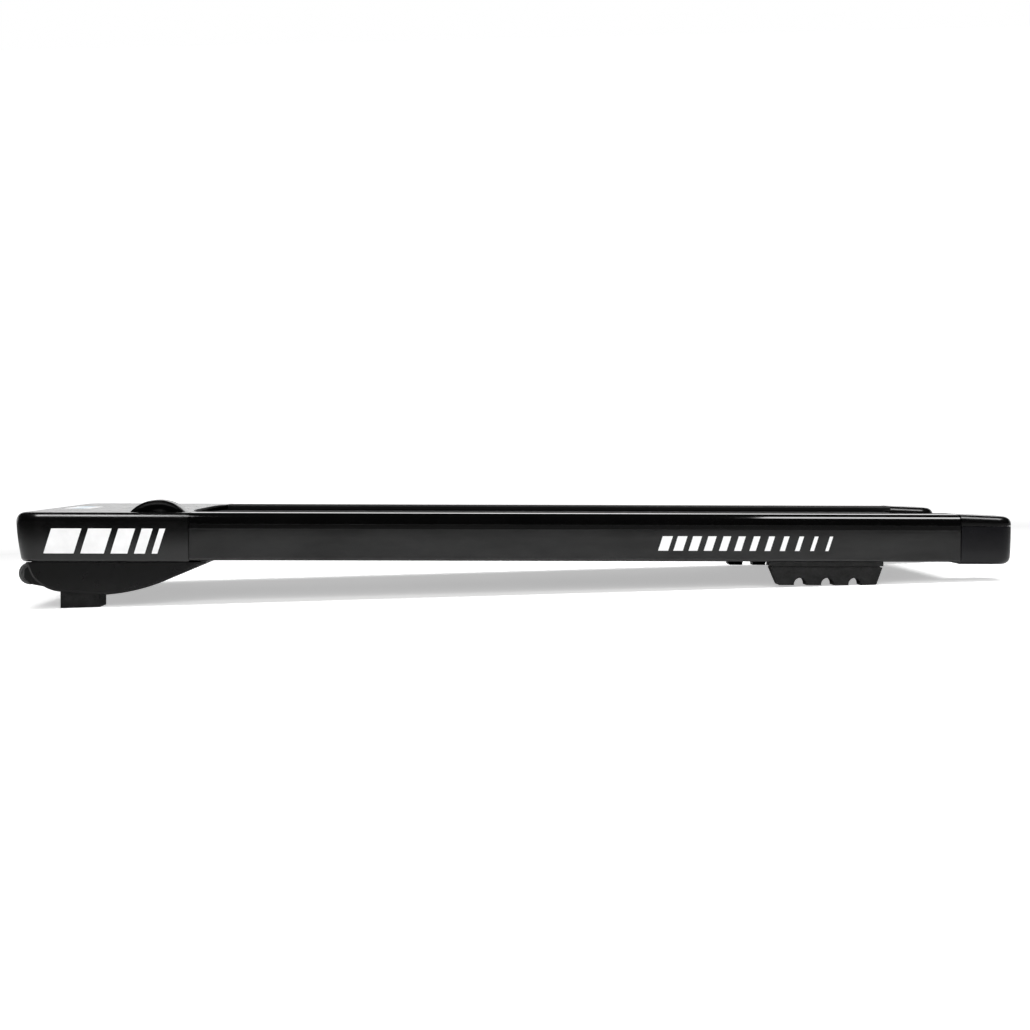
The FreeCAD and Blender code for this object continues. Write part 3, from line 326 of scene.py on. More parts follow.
def cover_material():
    """High gloss on the shoulder and the outer part of the top, fine anti-slip grain over the foot area."""
    mat, tree, shader = new_material("cover_black")
    here = place_coords(tree)
    split = tree.nodes.new("ShaderNodeSeparateXYZ")
    tree.links.new(here, split.inputs["Vector"])
    off_centre = combine(tree, split.outputs["Y"], 0.0, "ABSOLUTE")
    grain = span(tree, off_centre, 0.5, 0.0, GRAIN_EDGE - 0.5 * MM, GRAIN_EDGE + 0.5 * MM)
    patches = noise(tree, here, 60.0, 4.0, 0.6)
    tree.links.new(ramp(tree, patches, (0.3, 0.0007), (0.7, 0.0014)), shader.inputs["Base Color"])
    smears = span(tree, noise(tree, here, 18.0, 5.0, 0.65, 0.6), 0.05, 0.08)
    tree.links.new(combine(tree, grain, smears, "ADD"), shader.inputs["Roughness"])
    bump(tree, shader, noise(tree, here, 1.2, 2.0), 0.002)
    return mat


cover_black = cover_material()
belly_black = belly_material()
SLOT_MATERIALS = {
    "gloss_black": gloss_black,
    "satin_black": satin_black,
    "matte_black": matte_black,
    "foot_rubber": foot_rubber,
    "wheel_rubber": wheel_rubber,
    "frame_paint": frame_paint,
    "rail_paint": rail_paint,
    "belt": belt_rubber,
    "drive_belt_rubber": drive_rubber,
    "deck_wood": deck_wood,
    "smoked_lens": smoked_lens,
    "circuit_board": circuit_board,
    "aluminium": aluminium,
    "motor_paint": motor_paint,
    "switch_black": switch_black,
    "rocker_red": rocker_red,
    "button_white": button_white,
    "lead_sheath": lead_sheath,
    "roller_steel": roller_steel,
    "bare_steel": bare_steel,
    "zinc_screws": zinc_screws,
}


def finish_nodes():
    """Every CAD piece takes the finish of the material slot that the record gives it."""
    for part in frame["record"]["subparts"]:
        materials = nodes[part["node"]].data.materials
        materials.clear()
        materials.append(SLOT_MATERIALS[part["material_slot"]])


finish_nodes()


# ---------------------------------------------------------------- drawing helpers
SAME_POINT = 0.002 * MM
SHARP_ANGLE = math.radians(30.0)


def face_outwards(mesh, join=False):
    """Turns every face outwards, after joining points that coincide where that is asked for."""
    work = bmesh.new()
    work.from_mesh(mesh)
    if join:
        bmesh.ops.remove_doubles(work, verts=work.verts, dist=SAME_POINT)
    bmesh.ops.recalc_face_normals(work, faces=work.faces)
    work.to_mesh(mesh)
    work.free()


def add_piece(name, mesh, mat, body="frame", stands_for=()):
    """Puts a mesh drawn in deck millimetres into the scene, standing on the floor and riding on its body."""
    mesh.transform(FROM_DECK)
    face_outwards(mesh, join=True)
    mesh.shade_smooth()
    mesh.set_sharp_from_angle(angle=SHARP_ANGLE)
    mesh.materials.append(mat)
    piece = bpy.data.objects.new(name, mesh)
    bpy.context.scene.collection.objects.link(piece)
    if stands_for:
        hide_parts(*stands_for)
    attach(piece, body)
    return piece


def new_mesh(name, points, faces):
    mesh = bpy.data.meshes.new(name)
    mesh.from_pydata([tuple(p) for p in points], [], faces)
    return mesh


def weigh_normals(piece):
    """Flat faces stay flat beside small rounded edges."""
    modifier = piece.modifiers.new("weighted_normals", "WEIGHTED_NORMAL")
    modifier.keep_sharp = True


def rounded(corners, arc_step=9.0):
    """Open or closed outline through corners (a, b) or (a, b, radius), with arcs at the rounded ones."""
    points = []
    count = len(corners)
    for i, corner in enumerate(corners):
        here = Vector(corner[:2])
        radius = corner[2] if len(corner) > 2 else 0.0
        if radius == 0.0:
            points.append(here)
            continue
        back = (Vector(corners[i - 1][:2]) - here).normalized()
        ahead = (Vector(corners[(i + 1) % count][:2]) - here).normalized()
        half = back.angle(ahead) / 2
        centre = here + (back + ahead).normalized() * (radius / math.sin(half))
        first = here + back * (radius / math.tan(half)) - centre
        last = here + ahead * (radius / math.tan(half)) - centre
        sweep = math.pi - 2 * half
        turn = 1.0 if first.x * last.y - first.y * last.x > 0 else -1.0
        steps = max(2, round(math.degrees(sweep) / arc_step))
        for k in range(steps + 1):
            points.append(centre + Matrix.Rotation(turn * sweep * k / steps, 2) @ first)
    return points


def prism_faces(count, rings):
    """Faces of a tube of rings of count points each, closed at both ends."""
    faces = []
    for ring in range(rings - 1):
        for k in range(count):
            a = ring * count + k
            b = ring * count + (k + 1) % count
            faces.append((a, b, b + count, a + count))
    faces.append(tuple(range(count)))
    faces.append(tuple((rings - 1) * count + k for k in range(count)))
    return faces


def strip_faces(count, rings):
    """Faces of an open skin of rows of count points each."""
    starts = [ring * count + k for ring in range(rings - 1) for k in range(count - 1)]
    return [(a, a + 1, a + 1 + count, a + count) for a in starts]


def quarter(centre_x, centre_y, radius, start, steps):
    """Points of a quarter circle, clockwise from that angle in degrees."""
    angles = [math.radians(start - 90.0 * k / steps) for k in range(steps + 1)]
    return [(centre_x + radius * math.cos(a), centre_y + radius * math.sin(a)) for a in angles]


def along_x(name, outline, stations):
    """A bar whose (y, z) outline runs through the x stations."""
    points = [(x, p.x, p.y) for x in stations for p in outline]
    return new_mesh(name, points, prism_faces(len(outline), len(stations)))


def mirror_y(outline, side):
    """side -1 is the user's left, as drawn; 1 is the right."""
    return [Vector((-side * p.x, p.y)) for p in outline]


def even(low, high, count):
    return [low + (high - low) * k / count for k in range(count + 1)]


SIDES = (("left", -1), ("right", 1))

# ---------------------------------------------------------------- sizes shared by the pieces (mm)
HALF_WIDTH = 250.0
HOOD_FRONT = -605.5
HOOD_REAR = -393.0
HOOD_BOW = 11.0
RAIL_REAR = 539.3
TOP = 57.0
COVER_INNER = 168.0
RAIL_FACE_TOP = 38.0
ROLLER_FRONT_X = -435.5
ROLLER_REAR_X = 528.0
ROLLER_Z = 26.1
BELT_INSIDE_R = 21.8
BELT_T = 1.6
BELT_HALF = 170.0


# ---------------------------------------------------------------- rails and their glossy covers
RAIL_INNER = 218.0
SEAT_Y = 246.5
SEAT_Z = 50.0
RAIL_CROWN = 0.9
RAIL_CROWN_FROM = 27.0


def rail_inset(z):
    """How far in the rail's face lies at that height."""
    share = max(0.0, z - RAIL_CROWN_FROM) / (RAIL_FACE_TOP - RAIL_CROWN_FROM)
    return RAIL_CROWN * share ** 2


def rail_outline():
    """The outer face rolls in a little towards the cover above it."""
    roll = [(rail_inset(z) - HALF_WIDTH, z) for z in even(RAIL_CROWN_FROM, RAIL_FACE_TOP, 6)]
    corners = roll + [
        (-SEAT_Y, RAIL_FACE_TOP),
        (-SEAT_Y, SEAT_Z, 2.0),
        (-RAIL_INNER, SEAT_Z, 1.5),
        (-RAIL_INNER, 0.0, 1.5),
        (-HALF_WIDTH, 0.0, 3.0),
    ]
    return rounded(corners)


COVER_WALL = 3.0
COVER_SHOULDER_R = 13.0
LIP_Z = 50.3
LINE_Z = 43.6
LINE_HALF = 0.4
LINE_IN = 0.6
GRIP_Y = (-214.0, -178.0)
GRIP_PITCH = 5.8
GRIP_HALF = 0.7
GRIP_DEPTH = 0.5


def cover_outline():
    """Round shoulder, shadow groove, fine grip grooves along the top and a lip over the belt's edge."""
    corners = [
        (-HALF_WIDTH, RAIL_FACE_TOP, 0.4),
        (-HALF_WIDTH, LINE_Z - LINE_HALF),
        (LINE_IN - HALF_WIDTH, LINE_Z),
        (-HALF_WIDTH, LINE_Z + LINE_HALF),
        (-HALF_WIDTH, TOP, COVER_SHOULDER_R),
    ]
    lines = int((GRIP_Y[1] - GRIP_Y[0]) / GRIP_PITCH)
    for k in range(lines + 1):
        y = GRIP_Y[0] + GRIP_PITCH * k
        corners += [(y - GRIP_HALF, TOP), (y - GRIP_HALF / 2, TOP - GRIP_DEPTH)]
        corners += [(y + GRIP_HALF / 2, TOP - GRIP_DEPTH), (y + GRIP_HALF, TOP)]
    corners += [
        (-COVER_INNER, TOP, 2.5),
        (-COVER_INNER, LIP_Z, 0.8),
        (-COVER_INNER - COVER_WALL, LIP_Z, 0.8),
        (-COVER_INNER - COVER_WALL, TOP - COVER_WALL),
        (-RAIL_INNER, TOP - COVER_WALL),
        (-RAIL_INNER, SEAT_Z),
        (-SEAT_Y, SEAT_Z, 2.0),
        (-SEAT_Y, RAIL_FACE_TOP),
    ]
    return rounded(corners, 6.0)


SEAM = 0.7
RAIL_STATIONS = even(HOOD_REAR + SEAM, RAIL_REAR - SEAM, 12)


def thicken(piece, thickness, even_offset=False):
    """Gives a skin a wall on its inner side."""
    wall = piece.modifiers.new("wall", "SOLIDIFY")
    wall.thickness = thickness * MM
    wall.offset = -1.0
    wall.use_even_offset = even_offset


def soften(piece, width, angle=50.0, segments=2):
    """Small rounds on the sharp edges."""
    modifier = piece.modifiers.new("soft_edges", "BEVEL")
    modifier.width = width * MM
    modifier.segments = segments
    modifier.limit_method = "ANGLE"
    modifier.angle_limit = math.radians(angle)
    modifier.harden_normals = True
    return piece


for side_name, side in SIDES:
    rail = along_x("rail_" + side_name, mirror_y(rail_outline(), side), RAIL_STATIONS)
    stands_for = ["side_rail_" + side_name]
    rail = add_piece("rail_" + side_name, rail, rail_paint, stands_for=stands_for)
    weigh_normals(soften(rail, 0.35, 70.0))
    cover = along_x("cover_" + side_name, mirror_y(cover_outline(), side), RAIL_STATIONS)
    stands_for = ["rail_cover_" + side_name]
    cover = add_piece("cover_" + side_name, cover, cover_black, stands_for=stands_for)
    weigh_normals(soften(cover, 0.3, 80.0))


# ---------------------------------------------------------------- walking belt
EMBOSS_PITCH = 3.4
EMBOSS_DEPTH = 0.35
BELT_EDGE = 0.35


def belt_material():
    """Embossed rubbery top: small pyramids, with faint scuffing along the direction of travel."""
    mat, tree, shader = new_material("walking_belt")
    coords = tree.nodes.new("ShaderNodeTexCoord")
    split = tree.nodes.new("ShaderNodeSeparateXYZ")
    tree.links.new(coords.outputs["UV"], split.inputs["Vector"])
    pitch = EMBOSS_PITCH * MM
    total = combine(tree, split.outputs["X"], split.outputs["Y"], "ADD")
    difference = combine(tree, split.outputs["X"], split.outputs["Y"], "SUBTRACT")
    first = combine(tree, total, pitch, "PINGPONG")
    second = combine(tree, difference, pitch, "PINGPONG")
    peaks = combine(tree, combine(tree, first, second, "MINIMUM"), pitch, "DIVIDE")
    uv = place_coords(tree, source="UV")
    scuffs = noise(tree, place_coords(tree, (0.12, 1, 1), "UV"), 9.0, 4.0, 0.6)
    patches = noise(tree, uv, 120.0, 3.0)
    tree.links.new(ramp(tree, scuffs, (0.3, 0.010), (0.72, 0.024)), shader.inputs["Base Color"])
    tree.links.new(span(tree, patches, 0.52, 0.68), shader.inputs["Roughness"])
    bump(tree, shader, noise(tree, uv, 0.6, 2.0), 0.03)
    bump(tree, shader, peaks, EMBOSS_DEPTH)
    return mat


RUN_STEPS = 48
ARC_STEPS = 28


def belt_path():
    """(x, z, outward x, outward z, distance) round the loop, starting on top at the front roller."""
    stops = []
    run = ROLLER_REAR_X - ROLLER_FRONT_X
    arc = math.pi * BELT_INSIDE_R

    def turn(x, start, before):
        for k in range(ARC_STEPS):
            angle = start - math.pi * k / ARC_STEPS
            out = (math.cos(angle), math.sin(angle))
            at = (x + BELT_INSIDE_R * out[0], ROLLER_Z + BELT_INSIDE_R * out[1])
            stops.append((*at, *out, before + arc * k / ARC_STEPS))

    for x in even(ROLLER_FRONT_X, ROLLER_REAR_X, RUN_STEPS)[:-1]:
        stops.append((x, ROLLER_Z + BELT_INSIDE_R, 0.0, 1.0, x - ROLLER_FRONT_X))
    turn(ROLLER_REAR_X, math.pi / 2, run)
    for x in even(ROLLER_REAR_X, ROLLER_FRONT_X, RUN_STEPS)[:-1]:
        stops.append((x, ROLLER_Z - BELT_INSIDE_R, 0.0, -1.0, run + arc + ROLLER_REAR_X - x))
    turn(ROLLER_FRONT_X, -math.pi / 2, 2 * run + arc)
    return stops


def belt_piece():
    edge = BELT_EDGE
    section = [(-BELT_HALF, edge), (edge - BELT_HALF, 0.0), (BELT_HALF - edge, 0.0), (BELT_HALF, edge)]
    section += [(BELT_HALF, BELT_T - edge), (BELT_HALF - edge, BELT_T), (edge - BELT_HALF, BELT_T)]
    section.append((-BELT_HALF, BELT_T - edge))
    stops = belt_path()
    points = [(x + ox * t, y, z + oz * t) for x, z, ox, oz, _ in stops for y, t in section]
    count = len(section)
    rings = len(stops)
    faces = []
    for ring in range(rings):
        ahead = (ring + 1) % rings
        for k in range(count):
            beside = (k + 1) % count
            faces.append((ring * count + k, ring * count + beside, ahead * count + beside, ahead * count + k))
    mesh = new_mesh("belt", points, faces)
    total = stops[-1][4] + math.pi * BELT_INSIDE_R / ARC_STEPS
    uv = mesh.uv_layers.new(name="UVMap")
    for face in mesh.polygons:
        wraps = {mesh.loops[i].vertex_index // count for i in face.loop_indices} == {0, rings - 1}
        for i in face.loop_indices:
            vertex = mesh.loops[i].vertex_index
            ring = vertex // count
            distance = total if wraps and ring == 0 else stops[ring][4]
            uv.data[i].uv = (distance * MM, section[vertex % count][0] * MM)
    return mesh


add_piece("belt", belt_piece(), belt_material(), stands_for=["walking_belt"])


# ---------------------------------------------------------------- motor hood
HOOD_LEAN = 6.0
HOOD_BOTTOM = -2.3
HOOD_CORNER_R = 32.0
HOOD_BOTTOM_R = 4.0
HOOD_SHOULDER_R = 12.0
HOOD_FACE = (3.7, 45.0)
CORNER_STEPS = 16
HOOD_WALL = 3.0
LEAN_PER_MM = HOOD_LEAN / (TOP - HOOD_BOTTOM)
CROWN_MIDDLE = 31.0
CROWN = 0.0020


def hood_inset(z):
    """How far in the hood's crowned face lies at that height."""
    return CROWN * (z - CROWN_MIDDLE) ** 2


def hood_profile():
    """(inset, height) up the hood's side: rolled bottom edge, slightly crowned face, round shoulder."""
    face = [(hood_inset(z), z) for z in even(*HOOD_FACE, 10)]
    start = (face[0][0] + 0.5, HOOD_BOTTOM, HOOD_BOTTOM_R)
    shoulder = (face[-1][0] + 0.7, TOP, HOOD_SHOULDER_R)
    return rounded([(12.0, HOOD_BOTTOM), start] + face[1:-1] + [shoulder, (14.5, TOP)], 6.0)


def hood_ring(inset, z):
    """The hood's plan at that height, from the rear left round the front to the rear right."""
    front = HOOD_FRONT + LEAN_PER_MM * (TOP - z)
    centre_x = front + HOOD_CORNER_R
    centre_y = HALF_WIDTH - HOOD_CORNER_R
    radius = HOOD_CORNER_R - inset
    ring = [(x, inset - HALF_WIDTH) for x in even(HOOD_REAR, centre_x, 8)[:-1]]
    ring += quarter(centre_x, -centre_y, radius, -90.0, CORNER_STEPS)
    ring += [(front + inset, y) for y in even(-centre_y, centre_y, 12)[1:-1]]
    ring += quarter(centre_x, centre_y, radius, 180.0, CORNER_STEPS)
    ring += [(x, HALF_WIDTH - inset) for x in even(centre_x, HOOD_REAR, 8)[1:]]
    return [(x, y, z) for x, y in ring]


def hood_rear_edge():
    """Across the top from the right to the left, bowed forward over the belt."""
    points = [(HOOD_REAR, COVER_INNER, TOP)]
    for y in even(COVER_INNER, -COVER_INNER, 40)[1:-1]:
        points.append((HOOD_REAR - HOOD_BOW * (1 - (y / COVER_INNER) ** 6), y, TOP))
    points.append((HOOD_REAR, -COVER_INNER, TOP))
    return points


def box_mesh(name, low, high):
    corners = [(x, y, z) for z in (low[2], high[2]) for x, y in
               ((low[0], low[1]), (high[0], low[1]), (high[0], high[1]), (low[0], high[1]))]
    faces = [(0, 1, 2, 3), (4, 5, 6, 7), (0, 1, 5, 4), (1, 2, 6, 5), (2, 3, 7, 6), (3, 0, 4, 7)]
    return new_mesh(name, corners, faces)


PANEL_Z = 22.0
PANEL_X = HOOD_FRONT + LEAN_PER_MM * (TOP - PANEL_Z)


def panel_place(y):
    """Local +Z points out of the leaning front face, local +Y up it."""
    up = Vector((-LEAN_PER_MM, 0, 1)).normalized()
    out = Vector((-1, 0, -LEAN_PER_MM)).normalized()
    side = up.cross(out)
    place = Matrix((side, up, out)).transposed().to_4x4()
    return Matrix.Translation((PANEL_X, y, PANEL_Z)) @ place


def cylinder_mesh(name, radius, low, high, count=48):
    turns = [2 * math.pi * k / count for k in range(count)]
    points = [(radius * math.cos(turn), radius * math.sin(turn), z) for z in (low, high) for turn in turns]
    return new_mesh(name, points, prism_faces(count, 2))


def cut(piece, cutters):
    """Cuts closed meshes, drawn in deck millimetres, out of a piece, and applies the result."""
    for mesh in cutters:
        mesh.transform(FROM_DECK)
        face_outwards(mesh)
        tool = bpy.data.objects.new("tool", mesh)
        bpy.context.scene.collection.objects.link(tool)
        modifier = piece.modifiers.new("cut", "BOOLEAN")
        modifier.operation = "DIFFERENCE"
        modifier.solver = "EXACT"
        modifier.object = tool
        settle(piece)
        bpy.data.objects.remove(tool)


def settle(piece):
    """Applies a piece's modifiers to its mesh."""
    bpy.context.view_layer.update()
    graph = bpy.context.evaluated_depsgraph_get()
    mesh = bpy.data.meshes.new_from_object(piece.evaluated_get(graph))
    piece.modifiers.clear()
    piece.data = mesh


DISPLAY_X = (-580.0, -544.0)
DISPLAY_HALF = 58.0
DISPLAY_SILL = 3.0
DISPLAY_RECESS = 2.0
BULGE_Y = (-209.0, -173.0)
BULGE_R = 45.5
BULGE_SKIRT = 14.0
BULGE_RIM = 2.0
BULGE_WALL = 2.0
BULGE_HALF_TURN = math.radians(48.0)
BULGE_STEPS = 48
SLOT_HALF = 29.0
SLOT_MARGIN = 3.0
INLET_Y = 120.0
INLET_HALF = (14.0, 10.0)
SWITCH_Y = 163.0
SWITCH_HALF = (10.0, 6.5)
BREAKER_Y = 190.0
BREAKER_R = 6.0
PANEL_REACH = 8.0


def hood_piece():
    rings = [hood_ring(p.x, p.y) for p in hood_profile()]
    count = len(rings[0])
    points = [p for ring in rings for p in ring]
    faces = strip_faces(count, len(rings))
    edge = hood_rear_edge()
    first = len(points)
    points += edge
    last_ring = [(len(rings) - 1) * count + k for k in range(count)]
    faces.append(tuple(last_ring + [first + k for k in range(len(edge))]))
    return new_mesh("hood", points, faces)


def panel_hole(name, half, y):
    """A rectangular cutter through the leaning front face."""
    width, height = half
    hole = box_mesh(name, (-width, -height, -PANEL_REACH), (width, height, PANEL_REACH))
    hole.transform(panel_place(y))
    return hole


def hood_cutters():
    """The display's recess and opening, the slot under the bulge, and the mains panel's three holes."""
    front, rear = DISPLAY_X
    low = (front, -DISPLAY_HALF, TOP - DISPLAY_RECESS)
    window = box_mesh("window", low, (rear, DISPLAY_HALF, TOP + 2.0))
    low = (front + DISPLAY_SILL, DISPLAY_SILL - DISPLAY_HALF, TOP - 8.0)
    through = box_mesh("through", low, (rear - DISPLAY_SILL, DISPLAY_HALF - DISPLAY_SILL, TOP - 1.0))
    low = (ROLLER_FRONT_X - SLOT_HALF, BULGE_Y[0] + SLOT_MARGIN, TOP - 9.0)
    slot = box_mesh("slot", low, (ROLLER_FRONT_X + SLOT_HALF, BULGE_Y[1] - SLOT_MARGIN, TOP + 3.0))
    breaker = cylinder_mesh("breaker", BREAKER_R, -PANEL_REACH, PANEL_REACH)
    breaker.transform(panel_place(BREAKER_Y))
    inlet = panel_hole("inlet", INLET_HALF, INLET_Y)
    switch = panel_hole("switch", SWITCH_HALF, SWITCH_Y)
    return [window, through, slot, inlet, switch, breaker]


hood = add_piece("hood", hood_piece(), hood_black, stands_for=["hood_cover"])
thicken(hood, HOOD_WALL, even_offset=True)
settle(hood)
cut(hood, hood_cutters())
hood.data.set_sharp_from_angle(angle=SHARP_ANGLE)
weigh_normals(hood)


def bulge_piece():
    """The housing over the drive pulley: part of a drum with rounded rims."""
    y0, y1 = BULGE_Y
    low = BULGE_R - BULGE_SKIRT
    section = rounded([(y0, low), (y0, BULGE_R, BULGE_RIM), (y1, BULGE_R, BULGE_RIM), (y1, low)], 9.0)
    angles = even(-BULGE_HALF_TURN, BULGE_HALF_TURN, BULGE_STEPS)
    points = []
    for angle in angles:
        for p in section:
            x = ROLLER_FRONT_X + p.y * math.sin(angle)
            points.append((x, p.x, ROLLER_Z + p.y * math.cos(angle)))
    return new_mesh("hood_bulge", points, strip_faces(len(section), len(angles)))


bulge_object = add_piece("hood_bulge", bulge_piece(), hood_black)
thicken(bulge_object, BULGE_WALL)


# ---------------------------------------------------------------- rear end caps
CAP_REAR = 604.0
CAP_OUTER_R = 20.0
CAP_INNER_R = 24.0
CAP_INNER_Y = 172.0
CAP_BOTTOM = -3.0
CAP_DROP = 2.4
CAP_LINE = (43.2, 43.9)
CAP_LINE_IN = 3.0
CAP_LINE_R = 0.3
CAP_BOTTOM_R = 9.0
CAP_SHOULDER_R = 10.0
CAP_STEPS = 12
CAP_CROWN = 0.0007
CAP_CROWN_MIDDLE = 34.0


def cap_ring(inset, z, side):
    """Plan of the end cap at that height, from its outer front corner round the rear to its inner one."""
    front = RAIL_REAR + SEAM * 0.4
    centre_x = CAP_REAR - CAP_OUTER_R
    centre_y = HALF_WIDTH - CAP_OUTER_R
    ring = [(x, HALF_WIDTH - inset) for x in even(front, centre_x, 6)[:-1]]
    radius = CAP_OUTER_R - inset
    ring += quarter(centre_x, centre_y, radius, 90.0, CAP_STEPS)
    radius = CAP_INNER_R - inset
    centre_x = CAP_REAR - CAP_INNER_R
    centre_y = CAP_INNER_Y + CAP_INNER_R
    ring += quarter(centre_x, centre_y, radius, 0.0, CAP_STEPS)
    ring += [(x, CAP_INNER_Y + inset) for x in even(centre_x, front, 5)[1:]]
    return [(x, side * y, z) for x, y in ring]


def cap_skin(name, side, profile):
    """Rings up the profile, closed below and above by flat lids. The top falls towards the rear."""
    rings = []
    for p in profile:
        ring = cap_ring(p.x, p.y, side)
        if p.y > CAP_LINE[1]:
            share = (p.y - CAP_LINE[1]) / (TOP - CAP_LINE[1])
            slope = CAP_DROP / (CAP_REAR - RAIL_REAR)
            ring = [(x, y, z - share * slope * max(0.0, x - RAIL_REAR)) for x, y, z in ring]
        rings.append(ring)
    points = [p for ring in rings for p in ring]
    return new_mesh(name, points, prism_faces(len(rings[0]), len(rings)))


def cap_crown(z):
    """How far in the end cap's crowned face lies at that height."""
    return CAP_CROWN * (z - CAP_CROWN_MIDDLE) ** 2


def cap_lower_profile():
    """(inset, height) up the satin part: rolled bottom edge and crowned face, up to the shadow line."""
    face = [(cap_crown(z), z) for z in even(6.0, CAP_LINE[0], 8)]
    corners = [(14.0, CAP_BOTTOM), (face[0][0] + 1.0, CAP_BOTTOM, CAP_BOTTOM_R)] + face[1:-1]
    return rounded(corners + [(*face[-1], CAP_LINE_R), (CAP_LINE_IN, CAP_LINE[0])], 8.0)


def cap_upper_profile():
    """(inset, height) up the glossy part: from the shadow line over the round shoulder."""
    corners = [(CAP_LINE_IN, CAP_LINE[1]), (0.0, CAP_LINE[1], CAP_LINE_R)]
    return rounded(corners + [(0.0, TOP, CAP_SHOULDER_R), (16.0, TOP)], 6.0)


for side_name, side in SIDES:
    stands_for = ["rear_cap_" + side_name]
    lower = cap_skin("end_cap_" + side_name, side, cap_lower_profile())
    lower = add_piece("end_cap_" + side_name, lower, satin_black, stands_for=stands_for)
    weigh_normals(lower)
    upper = cap_skin("end_cap_top_" + side_name, side, cap_upper_profile())
    upper = add_piece("end_cap_top_" + side_name, upper, cap_black)
    weigh_normals(upper)


# ---------------------------------------------------------------- white slanted bars
def decal_material():
    mat, tree, shader = new_material("white_print")
    here = place_coords(tree)
    patches = noise(tree, here, 14.0, 3.0)
    tree.links.new(ramp(tree, patches, (0.3, 0.74), (0.7, 0.82)), shader.inputs["Base Color"])
    tree.links.new(span(tree, noise(tree, here, 5.0), 0.42, 0.55), shader.inputs["Roughness"])
    bump(tree, shader, noise(tree, here, 0.4), 0.01)
    return mat


white_print = decal_material()
PRINT_T = 0.12


def side_bars(name, side, bars, painted_shade_far, inset):
    """Flat slanted bars on a side face. bars are (x, width); inset(z) is how far in the face lies."""
    low, high = painted_shade_far
    points = []
    faces = []
    rows = even(low, high, 12)
    for x, width in bars:
        first = len(points)
        for z in rows:
            lean = BAR_SLANT * (z - low)
            for depth in (-PRINT_T, PRINT_T):
                y = side * (HALF_WIDTH - inset(z) + depth)
                points += [(x + lean, y, z), (x + width + lean, y, z)]
        for k in range(len(rows) - 1):
            a = first + 4 * k
            b = a + 4
            faces += [(a, a + 1, b + 1, b), (a + 2, a + 3, b + 3, b + 2)]
            faces += [(a, a + 2, b + 2, b), (a + 1, a + 3, b + 3, b + 1)]
        a = first
        b = first + 4 * (len(rows) - 1)
        faces += [(a, a + 1, a + 3, a + 2), (b, b + 1, b + 3, b + 2)]
    return new_mesh(name, points, faces)


BAR_SLANT = 0.32
HOOD_BARS_Z = (8.0, 38.0)
RAIL_BARS_Z = (13.0, 30.5)
HOOD_BARS = [(-566.0, 36.0), (-522.0, 28.0), (-486.0, 20.0), (-458.0, 13.0), (-437.0, 7.0)]
RAIL_BARS = [(171.6 + 18.4 * k, 12.2 - 0.75 * k) for k in range(12)]
for side_name, side in SIDES:
    mesh = side_bars("hood_bars_" + side_name, side, HOOD_BARS, HOOD_BARS_Z, hood_inset)
    add_piece("hood_bars_" + side_name, mesh, white_print)
    mesh = side_bars("rail_bars_" + side_name, side, RAIL_BARS, RAIL_BARS_Z, rail_inset)
    add_piece("rail_bars_" + side_name, mesh, white_print)


# ---------------------------------------------------------------- display digits
LENS_TOP = 56.9
DIGIT_X = -562.0
DIGIT_YS = (-39.0, -13.0, 13.0, 39.0)
DIGIT_HALF_WIDTH = 4.6
DIGIT_HALF_HEIGHT = 7.2
STROKE = 1.5
DIGIT_GAP = 0.35
DIGIT_T = 0.08


def bar_outline(start, end):
    """A pointed display bar between two points (right, up), short of both by the gap."""
    along = (end - start).normalized()
    across = Vector((-along.y, along.x)) * (STROKE / 2)
    first = start + along * DIGIT_GAP
    last = end - along * DIGIT_GAP
    tip = along * (STROKE / 2)
    return [first, first + tip + across, last - tip + across, last, last - tip - across, first + tip - across]


def zero_bars(centre):
    """The six lit bars of a nought."""
    w = DIGIT_HALF_WIDTH
    h = DIGIT_HALF_HEIGHT
    stops = [(-w, -h), (-w, 0), (-w, h), (w, h), (w, 0), (w, -h)]
    stops = [centre + Vector(stop) for stop in stops]
    return [bar_outline(stops[k - 1], stops[k]) for k in range(len(stops))]


def display_dot(centre, radius=1.0, count=16):
    turns = [2 * math.pi * k / count for k in range(count)]
    return [centre + Vector((math.cos(a), math.sin(a))) * radius for a in turns]


def flat_marks(name, outlines, low, high, place):
    """Thin plates of (right, up) outlines. place() turns a point and a height into deck millimetres."""
    points = []
    faces = []
    for outline in outlines:
        first = len(points)
        points += [place(p, z) for z in (low, high) for p in outline]
        faces += [tuple(first + k for k in face) for face in prism_faces(len(outline), 2)]
    return new_mesh(name, points, faces)


def digit_material():
    mat, tree, shader = new_material("display_digit")
    here = place_coords(tree)
    tree.links.new(ramp(tree, noise(tree, here, 3.0), (0.3, 0.30), (0.7, 0.38)), shader.inputs["Base Color"])
    tree.links.new(span(tree, noise(tree, here, 5.0), 0.6, 0.8), shader.inputs["Emission Strength"])
    shader.inputs["Emission Color"].default_value = (0.62, 0.85, 1.0, 1)
    shader.inputs["Roughness"].default_value = 0.3
    return mat


def display_place(p, z):
    """Read by the walker, whose right is +Y and whose far side is -X."""
    return (DIGIT_X - p.y, p.x, z)


digit_outlines = [bar for y in DIGIT_YS for bar in zero_bars(Vector((y, 0.0)))]
digit_outlines += [display_dot(Vector((0.0, rise))) for rise in (-3.0, 3.0)]
digits = flat_marks("display_digits", digit_outlines, LENS_TOP - DIGIT_T, LENS_TOP + DIGIT_T, display_place)
add_piece("display_digits", digits, digit_material())


